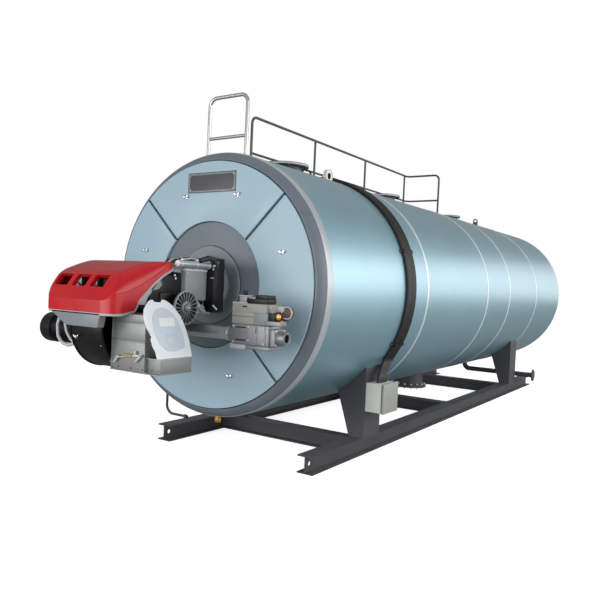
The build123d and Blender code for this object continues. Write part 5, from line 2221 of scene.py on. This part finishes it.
@dataclass
class Stage:
    """Camera, floor and studio light. Camera sizes are pixels of the 600 pixel frame or degrees."""

    frame_px: float = 600.0
    focal_px: float = 651.036
    centre_px: float = 269.9
    yaw: float = 34.965
    pitch: float = -1.614
    roll: float = 2.507
    eye: Point = (3507.9, -4109.6, 47.3)
    sensor: float = 36.0
    sky: float = 0.3
    floor_half: float = 60.0
    floor_glow: float = 0.78

    def camera(self) -> None:
        """Sets the camera at the photograph's angle."""
        data = bpy.data.cameras.new("camera")
        data.sensor_width = self.sensor
        data.lens = self.focal_px / self.frame_px * self.sensor
        data.shift_x = (self.frame_px / 2 - self.centre_px) / self.frame_px
        data.clip_end = 200.0
        yaw, pitch, roll = (radians(a) for a in (self.yaw, self.pitch, self.roll))
        ahead = Vector(
            (-sin(yaw) * cos(pitch), cos(yaw) * cos(pitch), sin(pitch))
        )
        right = Vector((cos(yaw), sin(yaw), 0))
        up = right.cross(ahead)
        tilted_right = right * cos(roll) + up * sin(roll)
        tilted_up = up * cos(roll) - right * sin(roll)
        turned = Matrix((tilted_right, tilted_up, -ahead)).transposed().to_4x4()
        camera = linked("camera", data)
        camera.matrix_world = Matrix.Translation(Site.point(*self.eye)) @ turned
        bpy.context.scene.camera = camera

    def lamp(
        self, name: str, place: Point, aim: Point, size: Flat, watts: float
    ) -> None:
        """Adds one rectangular softbox.

        Args:
            name: The lamp's name.
            place: Where it stands, in metres.
            aim: What it points at, in metres.
            size: Its width and height in metres.
            watts: Its power.
        """
        data = bpy.data.lights.new(name, "AREA")
        data.shape = "RECTANGLE"
        data.size, data.size_y = size
        data.energy = watts
        lamp = linked(name, data)
        lamp.location = place
        lamp.rotation_euler = (Vector(aim) - Vector(place)).to_track_quat("-Z", "Y").to_euler()

    def light(self) -> None:
        """Lights the boiler from the right, the rear, the front and above, with a soft sky."""
        self.lamp("side_softbox", (12.0, 3.0, 4.3), (0, 3.0, 1.5), (26.0, 7.2), 1620)
        self.lamp("rear_softbox", (10.5, 30.0, 5.0), (1, 0, 1.5), (13.0, 9.0), 420)
        self.lamp("front_softbox", (-1.0, -13.0, 2.1), (0, -3, 1.4), (12.0, 4.0), 700)
        self.lamp("top_softbox", (0.0, 1.0, 11.0), (0, 0.5, 1.5), (8.0, 10.0), 70)
        world = bpy.data.worlds.new("studio")
        bpy.context.scene.world = world
        tree = empty_tree(world)
        rays = add_node(tree, "ShaderNodeLightPath")
        dim, white = (
            add_node(tree, "ShaderNodeBackground", None, {"Color": WHITE_LIGHT, "Strength": power})
            for power in (self.sky, 1.0)
        )
        mixed = add_node(
            tree, "ShaderNodeMixShader",
            links={0: rays.outputs["Is Camera Ray"], 1: dim.outputs[0], 2: white.outputs[0]},
        )
        add_node(tree, "ShaderNodeOutputWorld", links={"Surface": mixed.outputs[0]})

    def floor(self) -> None:
        """Lays a pale floor that shows white and keeps the boiler's shadow."""
        data = bpy.data.meshes.new("floor")
        half = self.floor_half
        corners = [(-half, -half, 0), (half, -half, 0), (half, half, 0), (-half, half, 0)]
        data.from_pydata(corners, [], [(0, 1, 2, 3)])
        floor = linked("floor", data)
        made = bpy.data.materials.new("studio_floor_white")
        tree = empty_tree(made)
        rays = add_node(tree, "ShaderNodeLightPath")
        matt, dull = (
            add_node(tree, "ShaderNodeBsdfDiffuse", values={"Color": linear(colour)})
            for colour in ("#F4F4F2", "#A9ABAB")
        )
        glow = add_node(
            tree, "ShaderNodeEmission", None, {"Color": WHITE_LIGHT, "Strength": self.floor_glow}
        )
        both = add_node(
            tree, "ShaderNodeAddShader", links={0: matt.outputs[0], 1: glow.outputs[0]}
        )
        mixed = add_node(
            tree, "ShaderNodeMixShader",
            links={0: rays.outputs["Is Camera Ray"], 1: dull.outputs[0], 2: both.outputs[0]},
        )
        add_node(tree, "ShaderNodeOutputMaterial", links={"Surface": mixed.outputs[0]})
        data.materials.append(made)

    def build(self) -> None:
        """Sets camera, light, floor and the plain view transform."""
        self.camera()
        self.light()
        self.floor()
        bpy.context.scene.view_settings.view_transform = "Standard"


SLOT_FINISH = {
    "cladding_blue": CLADDING, "panel_blue": PANEL, "gap_blue": GAP_SHADE, "door_grey": DOOR,
    "trim_steel": TRIM, "frame_grey": FRAME, "rail_grey": RAIL, "hoop_steel": HOOP,
    "hood_red": RED, "black_paint": BLACK, "burner_grey": GREY, "zinc": ZINC,
    "intake_steel": SHEET, "white_plastic": WHITE, "box_beige": BEIGE, "cast_aluminium": CAST,
    "cable_black": CABLE, "brass": BRASS, "gauge_white": DIAL,
    "plate_grey": PLATE,
}


def dress_kept_nodes() -> None:
    """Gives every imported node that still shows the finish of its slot."""
    slots = {row["node"]: row["material_slot"] for row in frame["record"]["subparts"]}
    for name, node in frame["nodes"].items():
        if not node.hide_render:
            keep_node(name, SLOT_FINISH[slots[name]])


def main() -> None:
    """Builds the stage and each sub-assembly in turn."""
    logging.basicConfig(level=logging.INFO, format="%(name)s %(message)s")
    for part in (
        Stage, Shell, FrontDoor, TopFittings, Harness, Hood, Fan, Head, GasTrain, Underside
    ):
        part().build()
    dress_kept_nodes()


if __name__ == "__main__":
    main()
